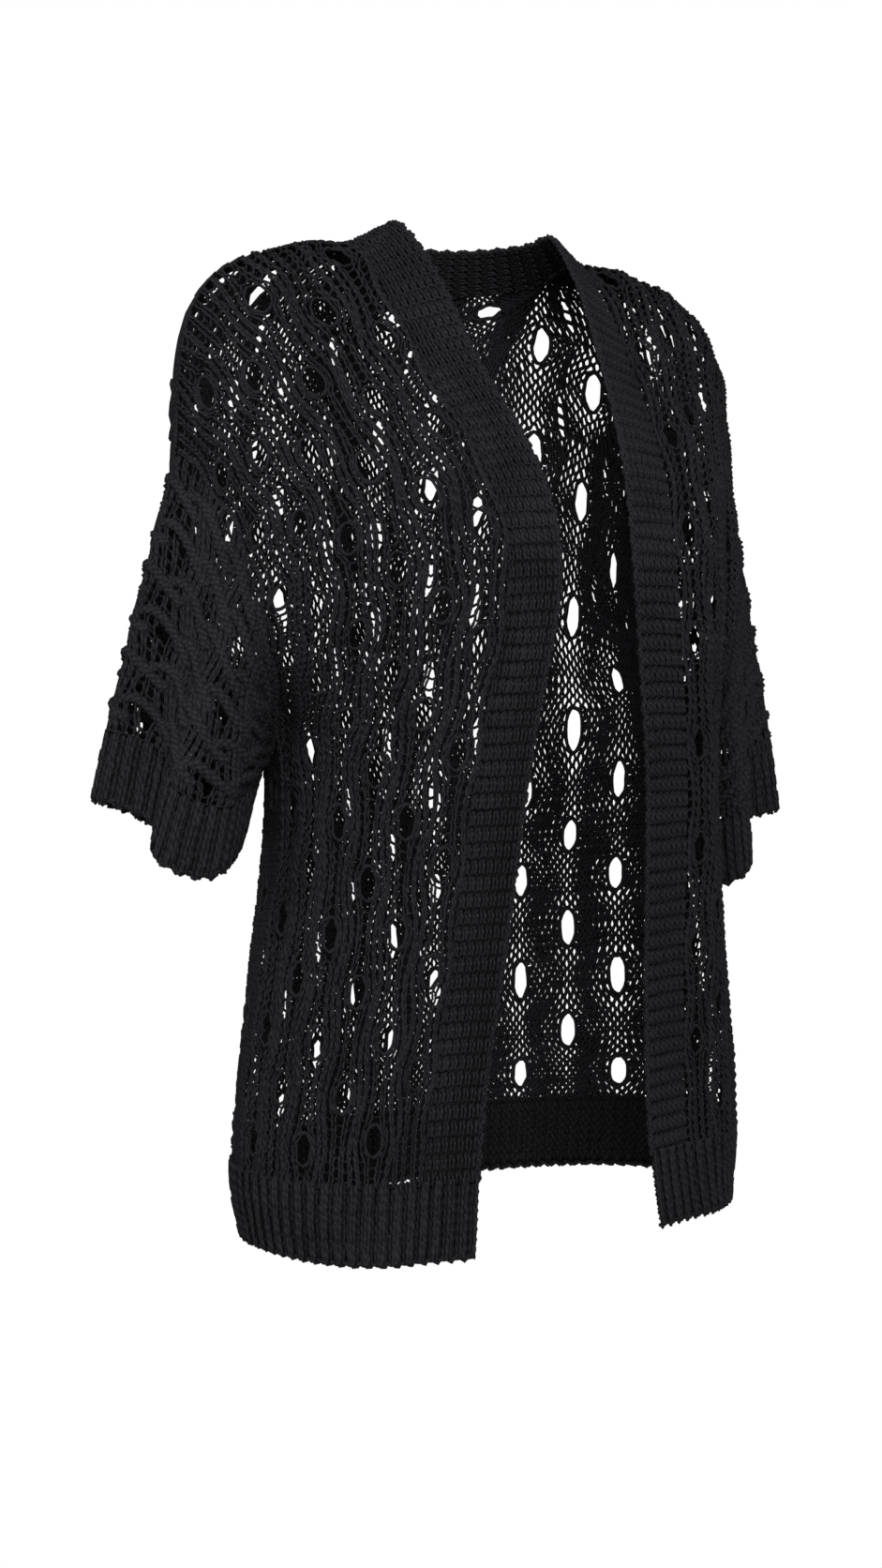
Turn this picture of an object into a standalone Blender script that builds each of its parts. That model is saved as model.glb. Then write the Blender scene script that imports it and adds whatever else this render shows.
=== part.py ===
"""Open-knit cardigan, worn open with nothing in it. Metres; +X is the wearer's left, -Y the front, +Z up.

The origin lies between the two shoulder seams at the neck, where the garment rests on its wearer. Every knitted
piece is a wall on one shared form: level sections of the fronts and of the back are drawn as rounded quarter
turns from the band to the side or the armhole, and lines down the fabric run through them, over the shoulder.
"""

import math

import bmesh
import bpy
import numpy as np

# Driving dimensions
LACE_WALL = 0.0030
RIB_WALL = 0.0040
SEAM_GAP = 0.0003
BAND_WIDTH = 0.038
HEM_HEIGHT = 0.048
CUFF_HEIGHT = 0.045

# Mesh steps
FRONT_STEPS = 12  # across a front, from the band to the side
NECK_STEPS = 5  # across half of the back neck
HEM_ROWS = 2
BODY_ROWS = 8  # from the hem rib to the underarm
YOKE_ROWS = 13  # from the underarm to the shoulder, and along each half of the armhole
SLEEVE_ROWS = 8
CUFF_ROWS = 2
BAND_STEPS = 3
FINE = 80  # points on a section before it is divided evenly

# Fronts, from the hem to the shoulder. edge_*: the free edge of the band; turn and droop: the way the band lies
# from that edge, in degrees round the body and down; outer_*: the side seam, then the front of the armhole;
# round_y and round_z: the exponent of the rounded turn between them; sway: how far the outer point moves to +X.
FRONT_COLUMNS = ("edge_x", "edge_y", "edge_z", "turn", "droop", "outer_x", "outer_y", "outer_z", "round_y",
                 "round_z", "sway")
FRONT_SECTIONS = (
    (0.075, -0.127, -0.670, 14, 0, 0.183, -0.019, -0.670, 2.0, 2.0, 0.002),
    (0.071, -0.124, -0.632, 14, 0, 0.190, -0.020, -0.632, 2.1, 2.0, 0.002),
    (0.067, -0.124, -0.580, 14, 0, 0.188, -0.020, -0.580, 2.1, 2.0, 0.003),
    (0.058, -0.134, -0.484, 12, 0, 0.175, -0.020, -0.484, 1.7, 2.0, 0.004),
    (0.047, -0.150, -0.350, 10, 0, 0.164, -0.014, -0.325, 1.4, 2.0, 0.003),
    (0.038, -0.156, -0.288, 9, 0, 0.181, -0.042, -0.283, 1.0, 2.0, 0.001),
    (0.030, -0.160, -0.222, 8, 0, 0.194, -0.051, -0.236, 0.85, 2.4, 0.0),
    (0.036, -0.139, -0.150, 10, 6, 0.207, -0.037, -0.190, 0.85, 2.8, 0.0),
    (0.051, -0.093, -0.083, 16, 12, 0.218, -0.018, -0.162, 1.0, 3.4, 0.0),
    (0.060, -0.040, -0.007, 22, 22, 0.223, -0.007, -0.151, 1.5, 4.2, 0.0),
    (0.064, -0.010, 0.018, 30, 24, 0.225, 0.0, -0.149, 2.0, 4.4, 0.0),
)

# Back, from the shoulder to the hem. centre_*: the middle of the back; outer_*: the back of the armhole, then
# the side seam, which each section shares with the front where the two meet.
BACK_COLUMNS = ("centre_y", "centre_z", "outer_x", "outer_y", "outer_z", "round_y", "round_z", "sway")
BACK_SECTIONS = (
    (0.077, -0.046, 0.224, 0.007, -0.151, 2.1, 4.2, 0.0),
    (0.085, -0.100, 0.219, 0.018, -0.162, 2.2, 3.4, 0.0),
    (0.090, -0.165, 0.210, 0.037, -0.190, 2.3, 2.8, 0.0),
    (0.094, -0.232, 0.196, 0.050, -0.236, 2.3, 2.4, 0.0),
    (0.091, -0.293, 0.181, 0.038, -0.283, 2.3, 2.0, 0.001),
    (0.087, -0.350, 0.164, -0.014, -0.325, 2.3, 2.0, 0.003),
    (0.084, -0.484, 0.175, -0.020, -0.484, 2.2, 2.0, 0.004),
    (0.082, -0.580, 0.188, -0.020, -0.580, 2.1, 2.0, 0.003),
    (0.081, -0.632, 0.190, -0.020, -0.632, 2.1, 2.0, 0.002),
    (0.080, -0.670, 0.183, -0.019, -0.670, 2.1, 2.0, 0.002),
)

# Back neck: the seam of the band and its free edge, at the middle of the back
NECK_SEAM_MIDDLE = (0.068, -0.021)
NECK_EDGE_MIDDLE = (0.056, 0.011)
NECK_ROUND = 2.3
NECK_RISE = (0.0, -0.010, 0.030)  # the way the back goes on past the seam, at its middle

# The open end of each sleeve, from underarm round by the front: around, 0.25 front, 0.5 outer line, 0.75 back;
# out: the distance from the middle of the garment. Its valleys run up the sleeve and die away at the armhole.
CUFF_COLUMNS = ("around", "out", "y", "z")
CUFF_EDGES = {
    "right": ((0.00, 0.188, -0.008, -0.394), (0.11, 0.208, -0.048, -0.407), (0.22, 0.240, -0.066, -0.419),
              (0.32, 0.269, -0.056, -0.403), (0.40, 0.256, -0.028, -0.388), (0.50, 0.281, 0.004, -0.373),
              (0.60, 0.258, 0.038, -0.380), (0.68, 0.240, 0.042, -0.386), (0.78, 0.222, 0.060, -0.394),
              (0.90, 0.196, 0.038, -0.396)),
    "left": ((0.00, 0.187, -0.016, -0.444), (0.10, 0.180, -0.054, -0.450), (0.19, 0.189, -0.073, -0.443),
             (0.27, 0.207, -0.056, -0.430), (0.35, 0.225, -0.024, -0.412), (0.45, 0.264, -0.016, -0.404),
             (0.54, 0.281, 0.014, -0.404), (0.64, 0.258, 0.040, -0.412), (0.72, 0.240, 0.044, -0.418),
             (0.81, 0.222, 0.062, -0.426), (0.91, 0.196, 0.038, -0.436)),
}
SLEEVE_FULLNESS = 0.001  # how far the middle of the outer line stands out from a straight line

# Folds of the body. across: 0 band, 1 side on a front, and 0 middle, 1 side on the back, with its sign; low and
# high: where it ends, as a share of the height; depth is inwards, so a ridge is negative
BODY_FOLD_COLUMNS = ("piece", "across", "width", "low", "high", "depth", "lean")
BODY_FOLDS = (
    ("right_front", 0.90, 0.07, 0.42, 0.82, 0.006, -0.10),
    ("right_front", 0.74, 0.06, 0.40, 0.74, -0.004, -0.08),
    ("right_front", 0.36, 0.10, 0.05, 0.55, 0.004, 0.05),
    ("left_front", 0.84, 0.07, 0.44, 0.86, 0.008, -0.12),
    ("left_front", 0.68, 0.06, 0.40, 0.84, -0.004, -0.12),
    ("left_front", 0.50, 0.05, 0.38, 0.78, 0.006, -0.10),
    ("left_front", 0.25, 0.08, 0.02, 0.50, -0.004, 0.0),
    ("back", -0.62, 0.07, 0.05, 0.60, 0.006, 0.05),
    ("back", -0.20, 0.09, 0.02, 0.45, -0.005, 0.0),
    ("back", 0.16, 0.08, 0.05, 0.55, 0.005, 0.0),
    ("back", 0.58, 0.07, 0.04, 0.52, 0.006, 0.06),
)

FOLD_FADE = 0.12  # folds die away over this share of a piece's width, before its side seam
FRONT_UNDERARM = 4  # the section of the fronts that ends at the underarm
BACK_UNDERARM = 5
BODY_MIDDLE = (0.0, -0.02, -0.45)

YARN_BLACK = (0.018, 0.018, 0.021, 1.0)
YARN_ROUGHNESS = 0.9
RIM_ANGLE = 50  # degrees: a wall's rims stay sharp


def spline(knots, values, places):
    """A smooth curve through rows of values at the knots, read at the places (a natural cubic spline)."""
    knots = np.asarray(knots, float)
    values = np.asarray(values, float)
    count = len(knots)
    gaps = np.diff(knots)
    matrix = np.eye(count)
    right = np.zeros_like(values)
    slopes = np.diff(values, axis=0) / gaps.reshape((-1,) + (1,) * (values.ndim - 1))
    for i in range(1, count - 1):
        matrix[i, i - 1:i + 2] = gaps[i - 1], 2 * (gaps[i - 1] + gaps[i]), gaps[i]
        right[i] = 6 * (slopes[i] - slopes[i - 1])
    bend = np.linalg.solve(matrix, right.reshape(count, -1)).reshape(values.shape)
    places = np.asarray(places, float)
    i = np.clip(np.searchsorted(knots, places) - 1, 0, count - 2)
    shape = (-1,) + (1,) * (values.ndim - 1)
    gap = gaps[i].reshape(shape)
    a = ((knots[i + 1] - places).reshape(shape)) / gap
    b = 1 - a
    return (a * values[i] + b * values[i + 1]
            + ((a ** 3 - a) * bend[i] + (b ** 3 - b) * bend[i + 1]) * gap ** 2 / 6)


def lengths(points):
    """Distance along a row of points, from 0."""
    return np.concatenate([[0.0], np.cumsum(np.linalg.norm(np.diff(points, axis=0), axis=1))])


def along(points, distances):
    """Points at the distances along a polyline."""
    here = lengths(points)
    return np.stack([np.interp(distances, here, points[:, axis]) for axis in range(3)], axis=1)


def evenly(points, steps):
    return along(points, np.linspace(0, lengths(points)[-1], steps + 1))


def quarter_turn(start, end, round_y, round_z):
    """A section that leaves start along X and reaches end along Y and Z, on rounded quarter turns."""
    angle = np.linspace(0, math.pi / 2, FINE)
    sine = np.sin(angle)
    cosine = np.cos(angle)
    x = start[0] + (end[0] - start[0]) * sine
    y = end[1] + (start[1] - end[1]) * cosine ** (2 / round_y)
    z = end[2] + (start[2] - end[2]) * cosine ** (2 / round_z)
    return np.stack([x, y, z], axis=1)


def band_lines(row, side):
    """The free edge of the band and its seam, at one section of the front."""
    edge = np.array([side * row["edge_x"], row["edge_y"], row["edge_z"]])
    turn = math.radians(row["turn"])
    droop = math.radians(row["droop"])
    lies = np.array([side * math.cos(turn) * math.cos(droop), math.sin(turn) * math.cos(droop),
                     -math.sin(droop)])
    return edge, edge + BAND_WIDTH * lies


def front_sections(side):
    """The front's sections at FRONT_STEPS + 1 even places from the band's seam, and the band's two lines."""
    sections = []
    band = []
    for values in FRONT_SECTIONS:
        row = dict(zip(FRONT_COLUMNS, values))
        edge, seam = band_lines(row, side)
        outer = (side * row["outer_x"] + row["sway"], row["outer_y"], row["outer_z"])
        sections.append(evenly(quarter_turn(seam, outer, row["round_y"], row["round_z"]), FRONT_STEPS))
        band.append((edge, seam))
    return np.array(sections), np.array(band)


def neck_curve(start, middle):
    """Half of the back neck, from the middle of the back to the shoulder seam at start."""
    angle = np.linspace(0, math.pi / 2, FINE)
    x = start[0] * np.sin(angle)
    drop = np.cos(angle) ** (2 / NECK_ROUND)
    y = start[1] + (middle[0] - start[1]) * drop
    z = start[2] + (middle[1] - start[2]) * drop
    return evenly(np.stack([x, y, z], axis=1), NECK_STEPS)


def back_sections(side):
    """The back's sections on one side, from the middle to the outer point, at the same places as the neck
    and the shoulder seam have them."""
    steps = NECK_STEPS + FRONT_STEPS
    sections = []
    for values in BACK_SECTIONS:
        row = dict(zip(BACK_COLUMNS, values))
        middle = (row["sway"], row["centre_y"], row["centre_z"])
        outer = (side * row["outer_x"] + row["sway"], row["outer_y"], row["outer_z"])
        sections.append(evenly(quarter_turn(middle, outer, row["round_y"], row["round_z"]), steps))
    return np.array(sections)


def line_places(sections):
    """One measure along the fabric for a run of sections: the mean distance between them."""
    return np.concatenate([[0.0], np.cumsum(np.linalg.norm(np.diff(sections, axis=0), axis=2).mean(axis=1))])


def body_cuts(total):
    """Rows of the hem rib, then even rows up to the underarm."""
    return np.concatenate([np.linspace(0, HEM_HEIGHT, HEM_ROWS + 1)[:-1],
                           np.linspace(HEM_HEIGHT, total, BODY_ROWS + 1)])


def yoke_cuts(total):
    return np.linspace(0, total, YOKE_ROWS + 1)


def sleeve_cuts(total):
    """Even rows down the sleeve, then the rows of the cuff, which is as high all the way round."""
    return np.concatenate([np.linspace(0, total - CUFF_HEIGHT, SLEEVE_ROWS + 1)[:-1],
                           np.linspace(total - CUFF_HEIGHT, total, CUFF_ROWS + 1)])


def cut_lines(sections, first, last, cuts):
    """The lines of fabric between two sections of a run, each divided along its own length."""
    places = line_places(sections)
    fine = spline(places, sections, np.linspace(places[first], places[last], FINE))
    lines = [fine[:, column] for column in range(fine.shape[1])]
    return np.stack([along(line, cuts(lengths(line)[-1])) for line in lines], axis=1)


def up_from_hem(sections, hem, underarm, top):
    low = cut_lines(sections, hem, underarm, body_cuts)
    high = cut_lines(sections, underarm, top, yoke_cuts)
    return np.concatenate([low, high[1:]])


def join_side_seam(front, back):
    """Brings the side edges of the two pieces together below the underarm, the rest of each row easing in."""
    rows = slice(0, HEM_ROWS + BODY_ROWS + 1)
    seam = (front[rows, -1] + back[rows, -1]) / 2
    for piece in (front, back):
        share = np.linspace(0, 1, piece.shape[1])[None, :, None] ** 2
        piece[rows] += (seam - piece[rows, -1])[:, None] * share


def body_form(side):
    """The front with its band, and half of the back, on one side: rows from the hem up, columns outwards."""
    fronts, band = front_sections(side)
    backs = back_sections(side)
    top = len(fronts) - 1
    # One run of sections over the shoulder, so that the two pieces meet smoothly at the seam.
    over = np.concatenate([fronts, backs[:, NECK_STEPS:]])
    hem_behind = len(over) - 1
    front = up_from_hem(over, 0, FRONT_UNDERARM, top)
    outer_back = up_from_hem(over, hem_behind, top + 1 + BACK_UNDERARM, top)
    join_side_seam(front, outer_back)
    neck = neck_curve(fronts[-1][0], NECK_SEAM_MIDDLE)
    # Past the neck seam the lines beside the shoulder go on over it, and those at the middle go on up.
    beside = (np.arange(NECK_STEPS + 1) / NECK_STEPS)[:, None] ** 2
    beyond = neck + (fronts[-2][0] - neck[-1]) * beside + np.array(NECK_RISE) * (1 - beside)
    middle = np.concatenate([backs[::-1][:, :NECK_STEPS + 1], neck[None], beyond[None]])
    middle_back = up_from_hem(middle, 0, len(backs) - 1 - BACK_UNDERARM, len(middle) - 2)
    back = np.concatenate([middle_back[:, :-1], outer_back], axis=1)
    edge = up_from_hem(band[:, :1], 0, FRONT_UNDERARM, top)
    share = np.linspace(0, 1, BAND_STEPS + 1)[None, :-1, None]
    strip = edge * (1 - share) + front[:, :1] * share
    return np.concatenate([strip, front], axis=1), back


def smooth_step(value):
    value = np.clip(value, 0, 1)
    return value * value * (3 - 2 * value)


def grid_normals(grid, middle, closed=False):
    """Unit normals of a grid of points, pointing away from the point middle of each row."""
    if closed:
        ring = np.concatenate([grid[:, -2:-1], grid, grid[:, 1:2]], axis=1)
        across = np.gradient(ring, axis=1)[:, 1:-1]
    else:
        across = np.gradient(grid, axis=1)
    normals = np.cross(across, np.gradient(grid, axis=0))
    normals /= np.linalg.norm(normals, axis=2, keepdims=True)
    facing = np.sign(((grid - middle) * normals).sum(axis=2).mean())
    return normals * facing


def share_normals(*edges):
    """Gives the normals along a seam the same value in each piece that meets there."""
    total = sum(edges)
    total = total / np.linalg.norm(total, axis=-1, keepdims=True)
    for edge in edges:
        edge[...] = total


def folded_body(name, grid, normals, across):
    """The grid with its piece's troughs and ridges. across gives each column's place."""
    rows = np.linspace(0, 1, len(grid))[:, None]
    moved = np.zeros(grid.shape[:2])
    for values in BODY_FOLDS:
        fold = dict(zip(BODY_FOLD_COLUMNS, values))
        if fold["piece"] != name:
            continue
        middle = (fold["low"] + fold["high"]) / 2
        half = (fold["high"] - fold["low"]) / 2
        fade = np.clip(1 - ((rows - middle) / half) ** 2, 0, 1) ** 1.5
        place = fold["across"] + fold["lean"] * (rows - middle)
        moved += fold["depth"] * fade * np.exp(-(((across[None] - place) / fold["width"]) ** 2))
    at_seam = smooth_step((1 - np.abs(across)) / FOLD_FADE)
    return grid - normals * (moved * at_seam[None])[..., None]


def sleeve_form(side, armhole):
    """A sleeve and its cuff: rows from the armhole down, columns from the underarm round by the front."""
    edge = np.array(CUFF_EDGES["left" if side > 0 else "right"])
    # Three turns of the ring, so that the curve of the middle one closes smoothly.
    turns = np.concatenate([edge - (1, 0, 0, 0), edge, edge + (1, 0, 0, 0)])
    ring = spline(turns[:, 0], turns[:, 1:], np.linspace(0, 1, len(armhole)))
    end = ring * (side, 1, 1)
    down = np.linspace(0, 1, FINE)[:, None, None]
    lines = armhole[None] * (1 - down) + end[None] * down
    outer = np.sin(math.pi * np.linspace(0, 1, len(armhole)))[None, :, None] ** 2
    outwards = lines - lines[:, :-1].mean(axis=1, keepdims=True)
    outwards /= np.linalg.norm(outwards, axis=2, keepdims=True)
    lines = lines + outwards * SLEEVE_FULLNESS * 4 * down * (1 - down) * outer
    return np.stack([along(line, sleeve_cuts(lengths(line)[-1])) for line in np.moveaxis(lines, 1, 0)], axis=1)


def inset(grid, normals, edges):
    """The grid with the named edges drawn back from their seams by half of the gap, square to the rim."""
    grid = grid.copy()
    for name, edge, inner, rim in (("bottom", grid[0], grid[1], normals[0]),
                                   ("top", grid[-1], grid[-2], normals[-1]),
                                   ("first", grid[:, 0], grid[:, 1], normals[:, 0]),
                                   ("last", grid[:, -1], grid[:, -2], normals[:, -1])):
        if name in edges:
            aside = np.cross(np.gradient(edge, axis=0), rim)
            aside /= np.linalg.norm(aside, axis=-1, keepdims=True)
            aside *= np.sign(((inner - edge) * aside).sum(axis=-1, keepdims=True))
            edge += aside * SEAM_GAP / 2
    return grid


def halves(face, points):
    """The two triangles of a four-sided face, split at its shorter diagonal."""
    a, b, c, d = face
    if np.linalg.norm(points[a] - points[c]) <= np.linalg.norm(points[b] - points[d]):
        return (a, b, c), (a, c, d)
    return (a, b, d), (b, c, d)


def wall(points, normals, thickness, closed=False):
    """A closed shell as (points, faces): the grid moved half of its thickness to each side, and its rims."""
    if closed:
        points = points[:, :-1]
        normals = normals[:, :-1]
    rows, columns = points.shape[:2]
    spans = columns if closed else columns - 1
    outside = np.arange(rows * columns).reshape(rows, columns)
    inside = outside + rows * columns
    faces = []

    def patch(first, second):
        """Faces between two lines of point numbers."""
        for i in range(len(first) - 1):
            faces.append((first[i], first[i + 1], second[i + 1], second[i]))

    def ring(line):
        return np.concatenate([line, line[:1]]) if spans == columns else line

    for row in range(rows - 1):
        patch(ring(outside[row]), ring(outside[row + 1]))
        patch(ring(inside[row + 1]), ring(inside[row]))
    patch(ring(inside[0]), ring(outside[0]))
    patch(ring(outside[-1]), ring(inside[-1]))
    if not closed:
        patch(outside[:, 0], inside[:, 0])
        patch(inside[:, -1], outside[:, -1])
    half = normals * thickness / 2
    both = np.concatenate([(points + half).reshape(-1, 3), (points - half).reshape(-1, 3)])
    return both, [tuple(int(i) for i in half) for face in faces for half in halves(face, both)]


def material(name, colour, roughness):
    made = bpy.data.materials.new(name)
    made.use_nodes = True
    shader = made.node_tree.nodes["Principled BSDF"]
    shader.inputs["Base Color"].default_value = colour
    shader.inputs["Roughness"].default_value = roughness
    return made


def add_piece(collection, name, points, normals, thickness, seams, closed=False):
    corners, faces = wall(inset(points, normals, seams), normals, thickness, closed)
    mesh = bpy.data.meshes.new(name)
    mesh.from_pydata(corners.tolist(), [], faces)
    shape = bmesh.new()
    shape.from_mesh(mesh)
    bmesh.ops.recalc_face_normals(shape, faces=shape.faces)
    shape.to_mesh(mesh)
    shape.free()
    mesh.shade_smooth()
    mesh.set_sharp_from_angle(angle=math.radians(RIM_ANGLE))
    mesh.materials.append(material(name + "_yarn", YARN_BLACK, YARN_ROUGHNESS))
    collection.objects.link(bpy.data.objects.new(name, mesh))


def neck_strip(back_top, right_edge, left_edge):
    """The band round the back neck: rows from the seam up to the free edge, columns from right to left."""
    right = neck_curve(right_edge, NECK_EDGE_MIDDLE)[::-1]
    left = neck_curve(left_edge, NECK_EDGE_MIDDLE)
    edge = np.concatenate([right, left[1:]])
    share = np.linspace(0, 1, BAND_STEPS + 1)[:, None, None]
    return back_top[None] * (1 - share) + edge[None] * share


def main():
    for obj in list(bpy.data.objects):
        bpy.data.objects.remove(obj)
    collection = bpy.data.collections.new("open_knit_cardigan")
    bpy.context.scene.collection.children.link(collection)

    left, left_back = body_form(1)
    right, right_back = body_form(-1)
    back = np.concatenate([right_back[:, :0:-1], left_back], axis=1)
    across_front = np.concatenate([np.zeros(BAND_STEPS), np.linspace(0, 1, FRONT_STEPS + 1)])
    across_back = np.linspace(-1, 1, back.shape[1])
    grids = {}
    for name, grid, across in (("left_front", left, across_front), ("right_front", right, across_front),
                               ("back", back, across_back)):
        grids[name] = folded_body(name, grid, grid_normals(grid, BODY_MIDDLE), across)
    left, right, back = grids["left_front"], grids["right_front"], grids["back"]
    left_normals = grid_normals(left, BODY_MIDDLE)
    right_normals = grid_normals(right, BODY_MIDDLE)
    back_normals = grid_normals(back, BODY_MIDDLE)

    under = HEM_ROWS + BODY_ROWS
    neck = slice(FRONT_STEPS, FRONT_STEPS + 2 * NECK_STEPS + 1)
    strip = neck_strip(back[-1, neck], right[-1, 0], left[-1, 0])
    strip_normals = grid_normals(strip, strip[0].mean(axis=0))
    share_normals(back_normals[-1, neck], strip_normals[0])
    share_normals(left_normals[-1, :BAND_STEPS + 1], strip_normals[::-1, -1])
    share_normals(right_normals[-1, :BAND_STEPS + 1], strip_normals[::-1, 0])
    share_normals(left_normals[-1, BAND_STEPS:], back_normals[-1, neck.stop - 1:])
    share_normals(right_normals[-1, BAND_STEPS:], back_normals[-1, neck.start::-1])
    share_normals(left_normals[:under + 1, -1], back_normals[:under + 1, -1])
    share_normals(right_normals[:under + 1, -1], back_normals[:under + 1, 0])

    share_normals(left_normals[-1, BAND_STEPS], back_normals[-1, neck.stop - 1], strip_normals[0, -1])
    share_normals(right_normals[-1, BAND_STEPS], back_normals[-1, neck.start], strip_normals[0, 0])

    for side, name, front, front_normals, column in ((1, "left", left, left_normals, -1),
                                                     (-1, "right", right, right_normals, 0)):
        armhole = np.concatenate([front[under:, -1], back[under:-1, column][::-1]])
        sleeve = sleeve_form(side, armhole)
        middles = sleeve[:, :-1].mean(axis=1, keepdims=True)
        normals = grid_normals(sleeve, middles, closed=True)
        top = len(front) - under
        share_normals(front_normals[under:, -1], normals[0, :top])
        share_normals(back_normals[under:, column], normals[0, top - 1:][::-1])
        normals[0, 0] = front_normals[under, -1] = back_normals[under, column]
        front_normals[-1, -1] = back_normals[-1, column]
        cuff = SLEEVE_ROWS
        lace = slice(HEM_ROWS, None)
        add_piece(collection, name + "_sleeve", sleeve[:cuff + 1], normals[:cuff + 1], LACE_WALL,
                  ("bottom", "top"), closed=True)
        add_piece(collection, name + "_cuff", sleeve[cuff:], normals[cuff:], RIB_WALL, ("bottom",), closed=True)
        add_piece(collection, name + "_front", front[lace, BAND_STEPS:], front_normals[lace, BAND_STEPS:],
                  LACE_WALL, ("bottom", "top", "first", "last"))
        add_piece(collection, name + "_band", front[lace, :BAND_STEPS + 1],
                  front_normals[lace, :BAND_STEPS + 1], RIB_WALL, ("bottom", "top", "last"))
        add_piece(collection, name + "_front_hem", front[:HEM_ROWS + 1], front_normals[:HEM_ROWS + 1],
                  RIB_WALL, ("top", "last"))

    add_piece(collection, "back", back[HEM_ROWS:], back_normals[HEM_ROWS:], LACE_WALL,
              ("bottom", "top", "first", "last"))
    add_piece(collection, "back_hem", back[:HEM_ROWS + 1], back_normals[:HEM_ROWS + 1], RIB_WALL,
              ("top", "first", "last"))
    add_piece(collection, "neck_band", strip, strip_normals, RIB_WALL, ("bottom", "first", "last"))


main()
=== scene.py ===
import math

import bmesh
import bpy
import numpy as np
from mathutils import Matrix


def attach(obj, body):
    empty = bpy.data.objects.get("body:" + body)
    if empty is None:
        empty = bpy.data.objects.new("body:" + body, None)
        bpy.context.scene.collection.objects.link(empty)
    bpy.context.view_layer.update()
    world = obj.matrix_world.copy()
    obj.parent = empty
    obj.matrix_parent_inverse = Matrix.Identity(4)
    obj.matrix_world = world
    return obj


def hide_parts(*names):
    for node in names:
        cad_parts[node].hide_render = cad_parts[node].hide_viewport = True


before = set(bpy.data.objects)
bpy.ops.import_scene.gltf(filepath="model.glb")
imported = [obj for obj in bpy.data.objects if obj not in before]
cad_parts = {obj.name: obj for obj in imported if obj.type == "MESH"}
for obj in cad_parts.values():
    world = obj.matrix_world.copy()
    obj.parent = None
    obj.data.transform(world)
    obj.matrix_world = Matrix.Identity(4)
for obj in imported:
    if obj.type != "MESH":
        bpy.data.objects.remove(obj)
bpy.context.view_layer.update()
scene = bpy.context.scene


def placed(name, data):
    made = bpy.data.objects.new(name, data)
    scene.collection.objects.link(made)
    return made


# The picture's camera, fitted: it stands to the wearer's right of the front, level.
cameraPlan = {"azimuth": -32, "distance": 1.70, "height": -0.2435, "lens": 54.9, "sensor": 36,
              "shiftX": -0.0176, "shiftY": -0.1172, "clip": 0.05}

turn = math.radians(cameraPlan["azimuth"])
cameraData = bpy.data.cameras.new("photoCamera")
cameraData.sensor_width = cameraPlan["sensor"]
cameraData.lens = cameraPlan["lens"]
cameraData.shift_x = cameraPlan["shiftX"]
cameraData.shift_y = cameraPlan["shiftY"]
cameraData.clip_start = cameraPlan["clip"]
camera = placed("photoCamera", cameraData)
camera.location = (cameraPlan["distance"] * math.sin(turn), -cameraPlan["distance"] * math.cos(turn),
                   cameraPlan["height"])
camera.rotation_euler = (math.radians(90), 0, turn)
scene.camera = camera
print("camera set")

# Form of the garment, as the CAD part has it.
form = {
    "bandWidth": 0.038, "hemHeight": 0.048, "cuffHeight": 0.045,
    "frontSteps": 12, "neckSteps": 5, "hemRows": 2, "bodyRows": 8, "yokeRows": 13, "sleeveRows": 8, "cuffRows": 2,
    "bandSteps": 3, "fine": 80, "neckRound": 2.3, "sleeveFullness": 0.001, "foldFade": 0.12,
    "frontUnderarm": 4, "backUnderarm": 5, "bodyMiddle": (0.0, -0.02, -0.45),
    "neckSeamMiddle": (0.068, -0.021), "neckEdgeMiddle": (0.056, 0.011), "neckRise": (0.0, -0.010, 0.030),
}

# hem to shoulder: free edge of the band (x, y, z), its turn and droop in degrees, side seam then armhole (x, y, z),
# roundness of the turn in y and z, sway of the outer point
frontSections = (
    (0.075, -0.127, -0.670, 14, 0, 0.183, -0.019, -0.670, 2.0, 2.0, 0.002),
    (0.071, -0.124, -0.632, 14, 0, 0.190, -0.020, -0.632, 2.1, 2.0, 0.002),
    (0.067, -0.124, -0.580, 14, 0, 0.188, -0.020, -0.580, 2.1, 2.0, 0.003),
    (0.058, -0.134, -0.484, 12, 0, 0.175, -0.020, -0.484, 1.7, 2.0, 0.004),
    (0.047, -0.150, -0.350, 10, 0, 0.164, -0.014, -0.325, 1.4, 2.0, 0.003),
    (0.038, -0.156, -0.288, 9, 0, 0.181, -0.042, -0.283, 1.0, 2.0, 0.001),
    (0.030, -0.160, -0.222, 8, 0, 0.194, -0.051, -0.236, 0.85, 2.4, 0.0),
    (0.036, -0.139, -0.150, 10, 6, 0.207, -0.037, -0.190, 0.85, 2.8, 0.0),
    (0.051, -0.093, -0.083, 16, 12, 0.218, -0.018, -0.162, 1.0, 3.4, 0.0),
    (0.060, -0.040, -0.007, 22, 22, 0.223, -0.007, -0.151, 1.5, 4.2, 0.0),
    (0.064, -0.010, 0.018, 30, 24, 0.225, 0.0, -0.149, 2.0, 4.4, 0.0),
)
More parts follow.
